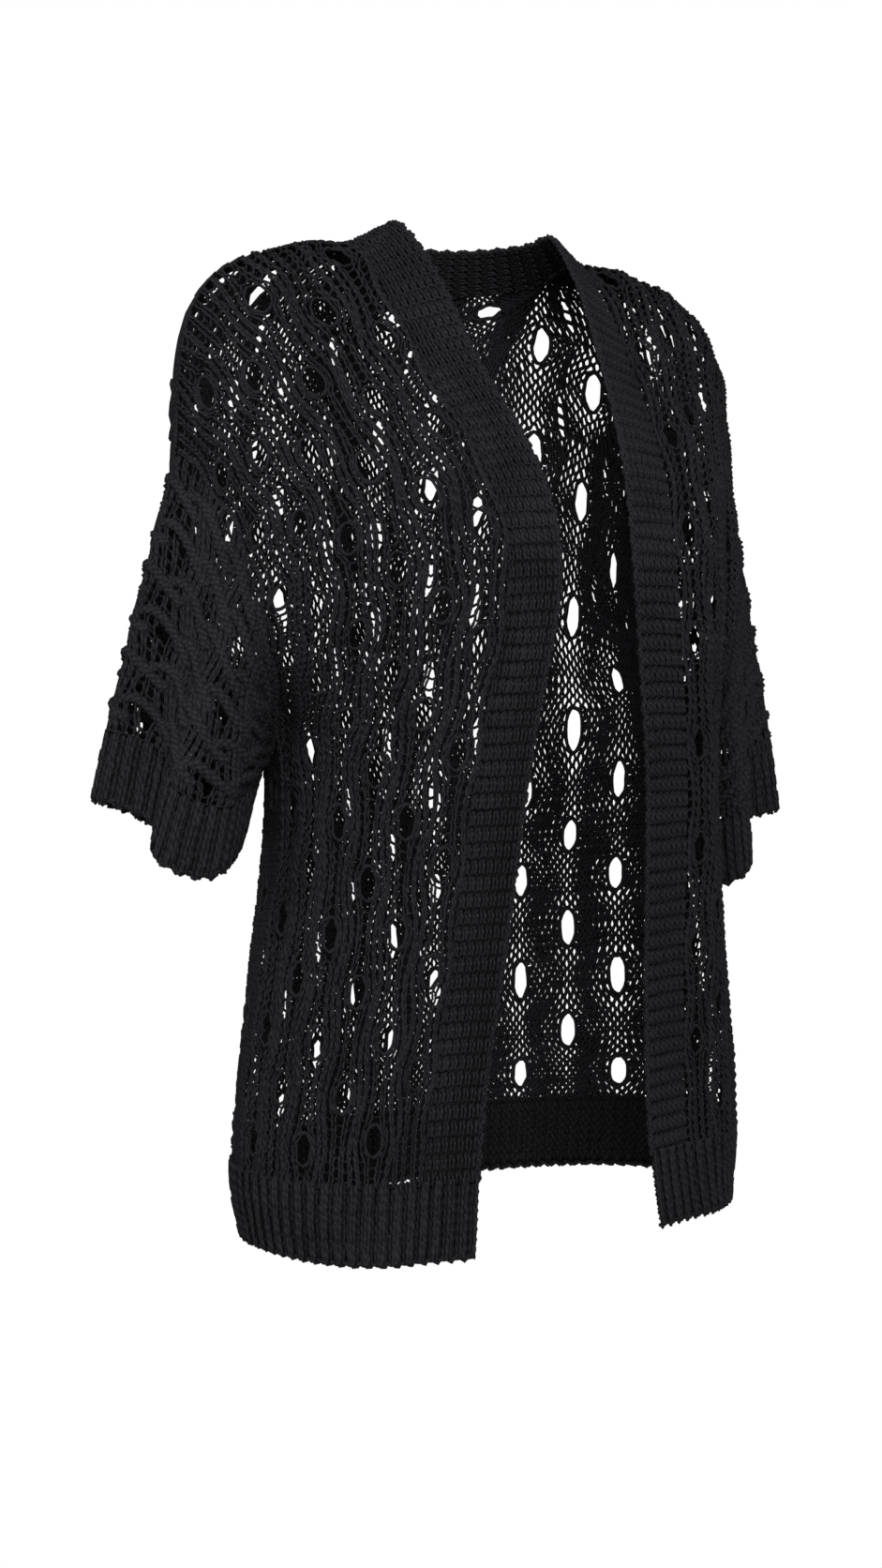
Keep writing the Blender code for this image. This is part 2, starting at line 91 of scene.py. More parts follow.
# shoulder to hem: middle of the back (y, z), armhole then side seam (x, y, z), roundness in y and z, sway
backSections = (
    (0.077, -0.046, 0.224, 0.007, -0.151, 2.1, 4.2, 0.0),
    (0.085, -0.100, 0.219, 0.018, -0.162, 2.2, 3.4, 0.0),
    (0.090, -0.165, 0.210, 0.037, -0.190, 2.3, 2.8, 0.0),
    (0.094, -0.232, 0.196, 0.050, -0.236, 2.3, 2.4, 0.0),
    (0.091, -0.293, 0.181, 0.038, -0.283, 2.3, 2.0, 0.001),
    (0.087, -0.350, 0.164, -0.014, -0.325, 2.3, 2.0, 0.003),
    (0.084, -0.484, 0.175, -0.020, -0.484, 2.2, 2.0, 0.004),
    (0.082, -0.580, 0.188, -0.020, -0.580, 2.1, 2.0, 0.003),
    (0.081, -0.632, 0.190, -0.020, -0.632, 2.1, 2.0, 0.002),
    (0.080, -0.670, 0.183, -0.019, -0.670, 2.1, 2.0, 0.002),
)
# open end of each sleeve, from the underarm round by the front: share round, distance from the middle, y, z
cuffEdges = {
    "right": ((0.00, 0.188, -0.008, -0.394), (0.11, 0.208, -0.048, -0.407), (0.22, 0.240, -0.066, -0.419),
              (0.32, 0.269, -0.056, -0.403), (0.40, 0.256, -0.028, -0.388), (0.50, 0.281, 0.004, -0.373),
              (0.60, 0.258, 0.038, -0.380), (0.68, 0.240, 0.042, -0.386), (0.78, 0.222, 0.060, -0.394),
              (0.90, 0.196, 0.038, -0.396)),
    "left": ((0.00, 0.187, -0.016, -0.444), (0.10, 0.180, -0.054, -0.450), (0.19, 0.189, -0.073, -0.443),
             (0.27, 0.207, -0.056, -0.430), (0.35, 0.225, -0.024, -0.412), (0.45, 0.264, -0.016, -0.404),
             (0.54, 0.281, 0.014, -0.404), (0.64, 0.258, 0.040, -0.412), (0.72, 0.240, 0.044, -0.418),
             (0.81, 0.222, 0.062, -0.426), (0.91, 0.196, 0.038, -0.436)),
}
# piece, place across, width, low end, high end, depth inwards, lean
bodyFolds = (
    ("right_front", 0.90, 0.07, 0.42, 0.82, 0.006, -0.10),
    ("right_front", 0.74, 0.06, 0.40, 0.74, -0.004, -0.08),
    ("right_front", 0.36, 0.10, 0.05, 0.55, 0.004, 0.05),
    ("left_front", 0.84, 0.07, 0.44, 0.86, 0.008, -0.12),
    ("left_front", 0.68, 0.06, 0.40, 0.84, -0.004, -0.12),
    ("left_front", 0.50, 0.05, 0.38, 0.78, 0.006, -0.10),
    ("left_front", 0.25, 0.08, 0.02, 0.50, -0.004, 0.0),
    ("back", -0.62, 0.07, 0.05, 0.60, 0.006, 0.05),
    ("back", -0.20, 0.09, 0.02, 0.45, -0.005, 0.0),
    ("back", 0.16, 0.08, 0.05, 0.55, 0.005, 0.0),
    ("back", 0.58, 0.07, 0.04, 0.52, 0.006, 0.06),
)


# A smooth curve through rows of values, read at the places.
def spline(knots, values, places):
    knots = np.asarray(knots, float)
    values = np.asarray(values, float)
    count = len(knots)
    gaps = np.diff(knots)
    matrix = np.eye(count)
    right = np.zeros_like(values)
    slopes = np.diff(values, axis=0) / gaps.reshape((-1,) + (1,) * (values.ndim - 1))
    for i in range(1, count - 1):
        matrix[i, i - 1:i + 2] = gaps[i - 1], 2 * (gaps[i - 1] + gaps[i]), gaps[i]
        right[i] = 6 * (slopes[i] - slopes[i - 1])
    bend = np.linalg.solve(matrix, right.reshape(count, -1)).reshape(values.shape)
    places = np.asarray(places, float)
    i = np.clip(np.searchsorted(knots, places) - 1, 0, count - 2)
    shape = (-1,) + (1,) * (values.ndim - 1)
    gap = gaps[i].reshape(shape)
    a = ((knots[i + 1] - places).reshape(shape)) / gap
    b = 1 - a
    return (a * values[i] + b * values[i + 1]
            + ((a ** 3 - a) * bend[i] + (b ** 3 - b) * bend[i + 1]) * gap ** 2 / 6)


def lengths(points):
    return np.concatenate([[0.0], np.cumsum(np.linalg.norm(np.diff(points, axis=0), axis=1))])


# Mean distance from the first row of a net to each row.
def rowSteps(net):
    return np.concatenate([[0.0], np.cumsum(np.linalg.norm(np.diff(net, axis=0), axis=2).mean(axis=1))])


def unit(vectors):
    return vectors / np.linalg.norm(vectors, axis=-1, keepdims=True)


# Points at these distances along a line, or other values of the line there.
def along(points, distances, values=None):
    here = lengths(points)
    values = points if values is None else values
    return np.stack([np.interp(distances, here, values[:, axis]) for axis in range(3)], axis=1)


def evenly(points, steps):
    return along(points, np.linspace(0, lengths(points)[-1], steps + 1))


def quarterTurn(start, end, roundY, roundZ):
    angle = np.linspace(0, math.pi / 2, form["fine"])
    sine = np.sin(angle)
    cosine = np.cos(angle)
    x = start[0] + (end[0] - start[0]) * sine
    y = end[1] + (start[1] - end[1]) * cosine ** (2 / roundY)
    z = end[2] + (start[2] - end[2]) * cosine ** (2 / roundZ)
    return np.stack([x, y, z], axis=1)


def frontRun(side):
    sections = []
    band = []
    for edgeX, edgeY, edgeZ, turnBy, droopBy, outX, outY, outZ, roundY, roundZ, sway in frontSections:
        edge = np.array([side * edgeX, edgeY, edgeZ])
        turned = math.radians(turnBy)
        droop = math.radians(droopBy)
        lies = np.array([side * math.cos(turned) * math.cos(droop), math.sin(turned) * math.cos(droop),
                         -math.sin(droop)])
        seam = edge + form["bandWidth"] * lies
        outer = (side * outX + sway, outY, outZ)
        sections.append(evenly(quarterTurn(seam, outer, roundY, roundZ), form["frontSteps"]))
        band.append((edge, seam))
    return np.array(sections), np.array(band)


def neckCurve(start, middle):
    angle = np.linspace(0, math.pi / 2, form["fine"])
    x = start[0] * np.sin(angle)
    drop = np.cos(angle) ** (2 / form["neckRound"])
    y = start[1] + (middle[0] - start[1]) * drop
    z = start[2] + (middle[1] - start[2]) * drop
    return evenly(np.stack([x, y, z], axis=1), form["neckSteps"])


def backRun(side):
    steps = form["neckSteps"] + form["frontSteps"]
    return np.array([evenly(quarterTurn((sway, midY, midZ), (side * outX + sway, outY, outZ), roundY, roundZ), steps)
                     for midY, midZ, outX, outY, outZ, roundY, roundZ, sway in backSections])


# Even steps up to a place, then even steps on from it.
def twoRuns(place, total, first, last):
    return np.concatenate([np.linspace(0, place, first + 1)[:-1], np.linspace(place, total, last + 1)])


def bodyCuts(total):
    return twoRuns(form["hemHeight"], total, form["hemRows"], form["bodyRows"])


def yokeCuts(total):
    return np.linspace(0, total, form["yokeRows"] + 1)


def sleeveCuts(total):
    return twoRuns(total - form["cuffHeight"], total, form["sleeveRows"], form["cuffRows"])


def cutLines(sections, first, last, cuts):
    places = rowSteps(sections)
    fine = spline(places, sections, np.linspace(places[first], places[last], form["fine"]))
    lines = [fine[:, column] for column in range(fine.shape[1])]
    return np.stack([along(line, cuts(lengths(line)[-1])) for line in lines], axis=1)


def upFromHem(sections, hem, underarm, top):
    low = cutLines(sections, hem, underarm, bodyCuts)
    return np.concatenate([low, cutLines(sections, underarm, top, yokeCuts)[1:]])


def joinSideSeam(front, back):
    rows = slice(0, form["hemRows"] + form["bodyRows"] + 1)
    seam = (front[rows, -1] + back[rows, -1]) / 2
    for piece in (front, back):
        share = np.linspace(0, 1, piece.shape[1])[None, :, None] ** 2
        piece[rows] += (seam - piece[rows, -1])[:, None] * share


# The front with its band, and half of the back: rows from the hem up, columns outwards.
def bodyForm(side):
    fronts, band = frontRun(side)
    backs = backRun(side)
    neckSteps = form["neckSteps"]
    top = len(fronts) - 1
    over = np.concatenate([fronts, backs[:, neckSteps:]])
    front = upFromHem(over, 0, form["frontUnderarm"], top)
    outerBack = upFromHem(over, len(over) - 1, top + 1 + form["backUnderarm"], top)
    joinSideSeam(front, outerBack)
    neck = neckCurve(fronts[-1][0], form["neckSeamMiddle"])
    beside = (np.arange(neckSteps + 1) / neckSteps)[:, None] ** 2
    beyond = neck + (fronts[-2][0] - neck[-1]) * beside + np.array(form["neckRise"]) * (1 - beside)
    middle = np.concatenate([backs[::-1][:, :neckSteps + 1], neck[None], beyond[None]])
    middleBack = upFromHem(middle, 0, len(backs) - 1 - form["backUnderarm"], len(middle) - 2)
    back = np.concatenate([middleBack[:, :-1], outerBack], axis=1)
    edge = upFromHem(band[:, :1], 0, form["frontUnderarm"], top)
    share = np.linspace(0, 1, form["bandSteps"] + 1)[None, :-1, None]
    strip = edge * (1 - share) + front[:, :1] * share
    return np.concatenate([strip, front], axis=1), back


def gridNormals(grid, middle, closed=False):
    if closed:
        ring = np.concatenate([grid[:, -2:-1], grid, grid[:, 1:2]], axis=1)
        across = np.gradient(ring, axis=1)[:, 1:-1]
    else:
        across = np.gradient(grid, axis=1)
    normals = unit(np.cross(across, np.gradient(grid, axis=0)))
    return normals * np.sign(((grid - middle) * normals).sum(axis=2).mean())


def foldedBody(name, grid, across):
    normals = gridNormals(grid, form["bodyMiddle"])
    rows = np.linspace(0, 1, len(grid))[:, None]
    moved = np.zeros(grid.shape[:2])
    for piece, place, width, low, high, depth, lean in bodyFolds:
        if piece == name:
            middle = (low + high) / 2
            fade = np.clip(1 - ((rows - middle) / ((high - low) / 2)) ** 2, 0, 1) ** 1.5
            moved += depth * fade * np.exp(-(((across[None] - place - lean * (rows - middle)) / width) ** 2))
    near = np.clip((1 - np.abs(across)) / form["foldFade"], 0, 1)
    return grid - normals * (moved * (near * near * (3 - 2 * near))[None])[..., None]


# The middle of each ring of a tube.
def ringMiddles(net):
    return net[:, :-1].mean(axis=1, keepdims=True)


def sleeveForm(side, armhole):
    edge = np.array(cuffEdges["left" if side > 0 else "right"])
    turns = np.concatenate([edge - (1, 0, 0, 0), edge, edge + (1, 0, 0, 0)])
    end = spline(turns[:, 0], turns[:, 1:], np.linspace(0, 1, len(armhole))) * (side, 1, 1)
    down = np.linspace(0, 1, form["fine"])[:, None, None]
    lines = armhole[None] * (1 - down) + end[None] * down
    outer = np.sin(math.pi * np.linspace(0, 1, len(armhole)))[None, :, None] ** 2
    outwards = unit(lines - ringMiddles(lines))
    lines = lines + outwards * form["sleeveFullness"] * 4 * down * (1 - down) * outer
    return np.stack([along(line, sleeveCuts(lengths(line)[-1])) for line in np.moveaxis(lines, 1, 0)], axis=1)


leftGrid, leftBack = bodyForm(1)
rightGrid, rightBack = bodyForm(-1)
backGrid = np.concatenate([rightBack[:, :0:-1], leftBack], axis=1)
acrossFront = np.concatenate([np.zeros(form["bandSteps"]), np.linspace(0, 1, form["frontSteps"] + 1)])
leftGrid = foldedBody("left_front", leftGrid, acrossFront)
rightGrid = foldedBody("right_front", rightGrid, acrossFront)
backGrid = foldedBody("back", backGrid, np.linspace(-1, 1, backGrid.shape[1]))

bodyMiddle = form["bodyMiddle"]
hemRows = form["hemRows"]
sleeveRows = form["sleeveRows"]
bandSteps = form["bandSteps"]
underarmRow = hemRows + form["bodyRows"]
neckColumns = slice(form["frontSteps"], form["frontSteps"] + 2 * form["neckSteps"] + 1)
neckRight = neckCurve(rightGrid[-1, 0], form["neckEdgeMiddle"])[::-1]
neckLeft = neckCurve(leftGrid[-1, 0], form["neckEdgeMiddle"])
neckShare = np.linspace(0, 1, bandSteps + 1)[:, None, None]
neckEdge = np.concatenate([neckRight, neckLeft[1:]])
neckGrid = backGrid[-1, neckColumns][None] * (1 - neckShare) + neckEdge[None] * neckShare
rightSleeveGrid = sleeveForm(-1, np.concatenate([rightGrid[underarmRow:, -1], backGrid[underarmRow:-1, 0][::-1]]))
leftSleeveGrid = sleeveForm(1, np.concatenate([leftGrid[underarmRow:, -1], backGrid[underarmRow:-1, -1][::-1]]))
sides = {"right": (rightGrid, rightSleeveGrid), "left": (leftGrid, leftSleeveGrid)}
print("form: fronts", rightGrid.shape, "back", backGrid.shape, "sleeve", rightSleeveGrid.shape)


# The grid redrawn on a finer net. rowPlaces says where each new row lies, in rows of the grid.
def refined(grid, rowPlaces, perColumn, closed=False):
    rows = spline(np.arange(len(grid)), grid, rowPlaces)
    columns = grid.shape[1]
    places = np.linspace(0, columns - 1, (columns - 1) * perColumn + 1)
    knots = np.arange(columns)
    turned = np.moveaxis(rows, 1, 0)
    if closed:
        knots = np.arange(-4, columns + 4)
        turned = np.concatenate([turned[-5:-1], turned, turned[1:5]])
    return np.moveaxis(spline(knots, turned, places), 0, 1)


# Faces between rows of point numbers.
def faceRows(first, second):
    return np.stack([first[..., :-1], first[..., 1:], second[..., 1:], second[..., :-1]], axis=-1).reshape(-1, 4)


# Named values on a mesh, one number or one vector to a point.
def stored(mesh, values):
    for label, rows in values.items():
        kind, field = ("FLOAT", "value") if np.ndim(rows) == 1 else ("FLOAT_VECTOR", "vector")
        mesh.attributes.new(label, kind, "POINT").data.foreach_set(field, np.ravel(rows))


# A net of faces with its own UV map and the way out stored on each point.
def guideSurface(name, net, middle, closed=False):
    rows, columns = net.shape[:2]
    across, up = np.meshgrid(np.linspace(0, 1, columns), np.linspace(0, 1, rows))
    numbers = np.arange(rows * columns).reshape(rows, columns)
    faces = faceRows(numbers[:-1], numbers[1:])
    mesh = bpy.data.meshes.new(name)
    mesh.from_pydata(net.reshape(-1, 3).tolist(), [], faces.tolist())
    spots = np.stack([across.ravel(), up.ravel()], axis=1)
    mesh.uv_layers.new(name="flat").data.foreach_set("uv", spots[faces.ravel()].ravel())
    stored(mesh, {"outward": gridNormals(net, middle, closed)})
    return placed(name, mesh)


# One socket of a tree, with arithmetic on it.
class Flow:
    def __init__(self, tree, socket):
        self.tree = tree
        self.socket = socket

    def make(self, nodeType, inputs=(), settings=(), out=0):
        node = self.tree.nodes.new(nodeType)
        for name, value in dict(settings).items():
            setattr(node, name, value)
        for place, value in dict(inputs).items():
            if isinstance(value, Flow):
                self.tree.links.new(value.socket, node.inputs[place])
            else:
                node.inputs[place].default_value = value
        return Flow(self.tree, node.outputs[out])

    def math(self, operation, first, second=0.0):
        return self.make("ShaderNodeMath", {0: first, 1: second}, {"operation": operation})

    def __add__(self, other): return self.math("ADD", self, other)
    def __radd__(self, other): return self.math("ADD", other, self)
    def __sub__(self, other): return self.math("SUBTRACT", self, other)
    def __rsub__(self, other): return self.math("SUBTRACT", other, self)
    def __mul__(self, other): return self.math("MULTIPLY", self, other)
    def __rmul__(self, other): return self.math("MULTIPLY", other, self)
    def __truediv__(self, other): return self.math("DIVIDE", self, other)
    def __rtruediv__(self, other): return self.math("DIVIDE", other, self)
    def __neg__(self): return self.math("MULTIPLY", self, -1.0)
    def __lt__(self, other): return self.math("LESS_THAN", self, other)
    def __gt__(self, other): return self.math("GREATER_THAN", self, other)

    def sine(self): return self.math("SINE", self)
    def cosine(self): return self.math("COSINE", self)
    def floor(self): return self.math("FLOOR", self)
    def fraction(self): return self.math("FRACT", self)
    def size(self): return self.math("ABSOLUTE", self)
    def root(self): return self.math("SQRT", self)
    def bell(self): return self.math("EXPONENT", -(self * self))
    def within(self, low=0.0, high=1.0): return self.make("ShaderNodeClamp", {0: self, 1: low, 2: high})
    def part(self, axis): return self.make("ShaderNodeSeparateXYZ", {0: self}, out=axis)
    def vector(self, x=0.0, y=0.0, z=0.0): return self.make("ShaderNodeCombineXYZ", {0: x, 1: y, 2: z})
    def scaled(self, by): return self.make("ShaderNodeVectorMath", {0: self, "Scale": by}, {"operation": "SCALE"})
    def plus(self, other): return self.make("ShaderNodeVectorMath", {0: self, 1: other}, {"operation": "ADD"})
    def position(self): return self.make("GeometryNodeInputPosition")
    def geometry(self): return self.make("GeometryNodeObjectInfo", {0: self}, out=4)
    def real(self): return self.make("GeometryNodeRealizeInstances", {0: self})
    def moved(self, to): return self.make("GeometryNodeSetPosition", {0: self, 2: to})
    def shifted(self, by): return self.make("GeometryNodeSetPosition", {0: self, 3: by})

    def named(self, name, kind="FLOAT"):
        return self.make("GeometryNodeInputNamedAttribute", {0: name}, {"data_type": kind})

    def store(self, name, value, kind="FLOAT"):
        return self.make("GeometryNodeStoreNamedAttribute", {0: self, 2: name, 3: value},
                         {"data_type": kind, "domain": "POINT"})


def openTree(name, plan):
    tree = bpy.data.node_groups.new(name, "GeometryNodeTree")
    names = {}
    for label, (kind, value) in plan.items():
        socket = tree.interface.new_socket(label, in_out="INPUT", socket_type="NodeSocket" + kind)
        if value is not None:
            socket.default_value = value
        names[label] = socket.identifier
    tree.interface.new_socket("Geometry", in_out="OUTPUT", socket_type="NodeSocketGeometry")
    given = tree.nodes.new("NodeGroupInput")
    return tree, names, {label: Flow(tree, given.outputs[label]) for label in names}


def joined(tree, shapes):
    join = tree.nodes.new("GeometryNodeJoinGeometry")
    for shape in shapes:
        tree.links.new(shape.socket, join.inputs[0])
    return Flow(tree, join.outputs[0])


def closeTree(tree, shape, finish):
    shape = shape.make("GeometryNodeSetShadeSmooth", {0: shape, 2: True}).real()
    shape = shape.make("GeometryNodeSetMaterial", {0: shape, 2: finish})
    tree.links.new(shape.socket, tree.nodes.new("NodeGroupOutput").inputs[0])


# Yarn along a line, which knows which way each point of its section faces.
def tube(line, sides, radius):
    section = line.make("GeometryNodeCurvePrimitiveCircle", {0: sides, 4: 1.0}, {"mode": "RADIUS"})
    section = section.store("facing", line.position(), "FLOAT_VECTOR")
    return line.make("GeometryNodeCurveToMesh", {0: line, 1: section, 2: radius, 3: True})


# The yarn is drawn flat, one run of loops to a course, opened at the lace slots, then laid on a guide surface.
# Flat measures: across in slot columns, up in courses, height in metres.
knitInputs = {
    "Guide": ("Object", None), "Slots": ("Object", None), "Finish": ("Material", None), "Courses": ("Int", 70),
    "Steps per wale": ("Int", 6), "Closed round": ("Bool", False), "Rims": ("Bool", True),
}
knitInputs.update({name: ("Float", value) for name, value in {
    "Columns": 6.0, "Wales per column": 7.0, "First course": 0.0, "Course step": 1.0, "Courses in all": 70.0,
    "Yarn radius": 0.0013, "Loop swing": 0.17, "Loop height": 0.70, "Loop depth": 0.0012, "Wale gather": 0.05,
    "Slot share": 0.30, "Spread": 0.0, "Meander": 0.05, "Open width": 0.5, "Rib relief": 0.0015, "Row relief": 0.0,
    "Rows per ridge": 2.0, "Dense radius": 0.5, "Unevenness": 0.05, "Stagger": 0.0, "Half drop": 0.0,
    "Radius rise": 0.0, "Radius lean": 0.0, "Low dense": 0.0, "Underarm thin": 0.0, "Phase": 0.0,
    "Middle thin": 0.0, "Patchiness": 0.0, "Rim radius": 0.0014, "Seed": 0.0}.items()})
knitShape = {
    "jitterRate": (0.9, 1.7), "slowRate": (0.15, 0.2), "slowSeed": 7.0,  # how fast unevenness changes, across and up
    "jitterLoops": 6.0, "slowLoops": 8.0, "jitterThick": 0.25, "jitterHeight": 0.0008, "slowHeight": 0.0012,
    "seek": 10.0, "slotReach": 0.62, "pushWidth": 0.2, "arcSize": 1.4, "arcLength": 1.9, "cutLength": 0.93,
    "openWave": 0.12, "denseFade": 0.5, "middleWidth": 0.13, "leanFrom": 0.75, "lowFrom": 0.68, "lowFade": 0.15,
    "underarmUp": 0.56, "underarmHalf": 0.13, "underarmFrom": 0.2, "underarmFade": 0.1,
    "runPerCourse": 13.0, "border": 0.0005, "sides": 3,
}
rimPlan = {"points": 18, "turn": 2.094, "lift": 0.0004, "wave": 0.0009, "swell": 0.14, "run": 0.37,
           "wider": 1.1, "beyond": 0.04, "longer": 1.03}


def knitTree():
    tree, names, entry = openTree("knit", knitInputs)
    start = entry["Columns"]
    keep = knitShape
    wales = entry["Columns"] * entry["Wales per column"]
    stepsIn = wales * entry["Steps per wale"]

    # flat runs: one line of points to a course
    course = start.make("GeometryNodeMeshLine", {0: stepsIn + 1.0, 3: start.vector(1.0 / stepsIn)},
                        {"mode": "OFFSET"})
    ladder = start.make("GeometryNodeMeshLine",
                        {0: entry["Courses"], 2: start.vector(0.0, entry["First course"]),
                         3: start.vector(0.0, entry["Course step"])}, {"mode": "OFFSET"})
    runs = start.make("GeometryNodeInstanceOnPoints", {0: ladder, 2: course}).real()

    place = start.position()
    courseNumber = place.part(1)
    wale = place.part(0) * wales
    swing = (wale + courseNumber * entry["Half drop"] + entry["Phase"]) * (2 * math.pi)
    twice = swing * 2.0

    def noise(rate, seed):
        at = start.vector(wale * rate[0], courseNumber * rate[1], seed)
        return start.make("ShaderNodeTexNoise", {2: 1.0, 3: 1.0, 0: at}, {"noise_dimensions": "3D"}) - 0.5

    jitter = noise(keep["jitterRate"], entry["Seed"])
    slow = noise(keep["slowRate"], entry["Seed"] + keep["slowSeed"])
    loopX = (wale + entry["Loop swing"] * twice.sine() + entry["Wale gather"] * swing.sine()
             + jitter * entry["Unevenness"] * keep["jitterLoops"])
    loopY = (courseNumber + 0.5 + entry["Stagger"] * (wale * math.pi).cosine()
             - entry["Loop height"] * swing.cosine() + slow * entry["Unevenness"] * keep["slowLoops"])

    # the lace column that this point lies in, and its nearest slot
    columnAcross = loopX / entry["Wales per column"]
    columnNumber = columnAcross.floor()
    aside = columnAcross - columnNumber - 0.5
    up = loopY / entry["Courses in all"]
    seek = start.vector((columnNumber + 0.5) * keep["seek"], up * keep["seek"])
    slotMesh = entry["Slots"].geometry()
    near = start.make("GeometryNodeSampleNearest", {0: slotMesh, 1: seek})
    slotUp, slotHalf, slotWide, slotPitch = (
        start.make("GeometryNodeSampleIndex", {0: slotMesh, 1: start.named(name), 2: near}, {"data_type": "FLOAT"})
        for name in ("up", "half", "wide", "pitch"))
    above = up - slotUp
    wave = ((above / slotPitch).within(-0.5, 0.5) * (2 * math.pi)).cosine()
    present = (slotPitch * keep["slotReach"] - above.size()) > 0.0
    inSlot = above / slotHalf
    opening = start.math("MAXIMUM", 1.0 - inSlot * inSlot, 0.0).root()
    sideSign = start.math("SIGN", aside)
    turned = aside * (2 * math.pi)
    spread = aside + entry["Spread"] * turned.sine() / (2 * math.pi)
    push = sideSign * slotWide * opening * (aside / keep["pushWidth"]).bell()
    halfway = (aside.size() * 2.0).within()
    arc = sideSign * slotWide * keep["arcSize"] * (inSlot / keep["arcLength"]).bell() * halfway * (1.0 - halfway)
    meander = entry["Meander"] * wave * present * aside * 2.0
    acrossShare = (columnNumber + 0.5 + spread + push + arc * present + meander) / entry["Columns"]

    # height over the guide: loops, the dense ribs between the columns, and plain ribs
    depth = -(entry["Loop depth"] * twice.cosine())
    openHere = entry["Open width"] + keep["openWave"] * wave * present
    denseness = ((aside.size() * 2.0 - openHere) / keep["denseFade"] + 0.5).within()
    relief = entry["Rib relief"] * (0.5 - turned.cosine() * 0.5)
    relief = relief + entry["Row relief"] * (courseNumber * (2 * math.pi) / entry["Rows per ridge"]).cosine()
    height = depth + relief + jitter * keep["jitterHeight"] + slow * keep["slowHeight"]

    # thickness of the yarn, graded over the panel
    thinner = entry["Middle thin"] * (aside / keep["middleWidth"]).bell()
    radiusHere = entry["Yarn radius"] * (1.0 + entry["Dense radius"] * denseness + jitter * keep["jitterThick"]
                                         + slow * entry["Patchiness"] - thinner)
    low = (1.0 - up * 2.0).within() * ((acrossShare - keep["lowFrom"]) / keep["lowFade"]).within()
    underarm = (((up - keep["underarmUp"]) / keep["underarmHalf"]).bell()
                * (((acrossShare - 0.5).size() - keep["underarmFrom"]) / keep["underarmFade"]).within())
    lean = acrossShare - keep["leanFrom"]
    radiusHere = radiusHere * (1.0 + entry["Radius rise"] * up + entry["Radius lean"] * lean
                               + entry["Low dense"] * low - entry["Underarm thin"] * underarm)

    # cut the yarn inside the slots
    middleWale = (aside * entry["Wales per column"]).size() < entry["Slot share"]
    runs = runs.store("cut", middleWale * (inSlot.size() < keep["cutLength"]))
    runs = runs.store("thick", radiusHere)
    runs = runs.store("run", wale + courseNumber * keep["runPerCourse"])
    flat = runs.moved(start.vector(acrossShare, up, height))
    kept = start.make("GeometryNodeDeleteGeometry", {0: flat, 1: start.named("cut") > 0.5},
                      {"domain": "POINT", "mode": "ALL"})

    # the rim of each slot, a ring round the opening
    ring = start.make("GeometryNodeMeshCircle", {0: rimPlan["points"], 1: 1.0}, {"fill_type": "NONE"})
    spotted = slotMesh.moved(start.named("middle", "FLOAT_VECTOR"))
    isOpen = (start.named("wide") > 0.0) * entry["Rims"]
    rings = start.make("GeometryNodeInstanceOnPoints",
                       {0: spotted, 1: isOpen, 2: ring, 6: start.named("ring", "FLOAT_VECTOR")}).real()
    number = start.make("GeometryNodeInputIndex")
    wobble = number * rimPlan["turn"]
    rings = rings.store("thick", entry["Rim radius"] * (1.0 + rimPlan["swell"] * wobble.cosine()))
    rings = rings.store("run", number * rimPlan["run"])
    rings = rings.shifted(start.vector(0.0, 0.0, rimPlan["lift"] + wobble.sine() * rimPlan["wave"]))

    # runs to curves, laid on the guide
    curves = start.make("GeometryNodeMeshToCurve", {0: joined(tree, [kept, rings])})
    border = keep["border"]
    flatX = place.part(0)
    u = start.make("GeometryNodeSwitch", {0: entry["Closed round"], 1: flatX.within(border, 1 - border),
                                          2: flatX.fraction().within(border, 1 - border)}, {"input_type": "FLOAT"})
    uv = start.vector(u, place.part(1).within(border, 1 - border))
    guideMesh = entry["Guide"].geometry()
    uvMap = start.named("flat", "FLOAT_VECTOR")

    def onGuide(value):
        return start.make("GeometryNodeSampleUVSurface", {0: guideMesh, 1: value, 2: uvMap, 3: uv},
                          {"data_type": "FLOAT_VECTOR"})

    lift = onGuide(start.named("outward", "FLOAT_VECTOR")).scaled(place.part(2))
    laid = curves.moved(onGuide(start.position()).plus(lift))
    closeTree(tree, tube(laid, keep["sides"], start.named("thick")), entry["Finish"])
    return tree, names


# What a tree makes with these values, as a plain mesh.
def plainMesh(maker, values, name):
    tree, names = maker
    holder = placed(name + "_made", bpy.data.meshes.new(name + "_made"))
    modifier = holder.modifiers.new("made", "NODES")
    modifier.node_group = tree
    for label, value in values.items():
        modifier[names[label]] = value
    bpy.context.view_layer.update()
    ready = holder.evaluated_get(bpy.context.evaluated_depsgraph_get())
    mesh = bpy.data.meshes.new_from_object(ready)
    mesh.name = name
    bpy.data.objects.remove(holder)
    piece = placed(name, mesh)
    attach(piece, "root")
    mesh.calc_loop_triangles()
    print("made", name, len(mesh.loop_triangles), "triangles")
    return piece


# plyPaintedShade darkens the grooves between the plies in the yarn colour: painted shade
yarnPlan = {"roughness": 0.90, "shine": 0.14, "sheen": 0.04, "sheenRough": 0.5, "fibreScale": 900.0,
            "fibreDetail": 3.0, "patchScale": 28.0, "plyTurns": 6.0, "fibreShade": 0.6, "patchShade": 0.4,
            "plyPaintedShade": 0.35, "dark": (0.0014, 0.0014, 0.0017), "pale": (0.0165, 0.0161, 0.0195),
            "bump": 0.6, "bumpDepth": 0.0006, "plyBump": 0.5}
# the rib ground: the yarn colour darkened and without sheen, painted shade of the crevices between the loops
groundShadePlan = dict(yarnPlan, dark=(0.0010, 0.0010, 0.0012), pale=(0.0035, 0.0035, 0.0040), plyPaintedShade=0.0, sheen=0.0)


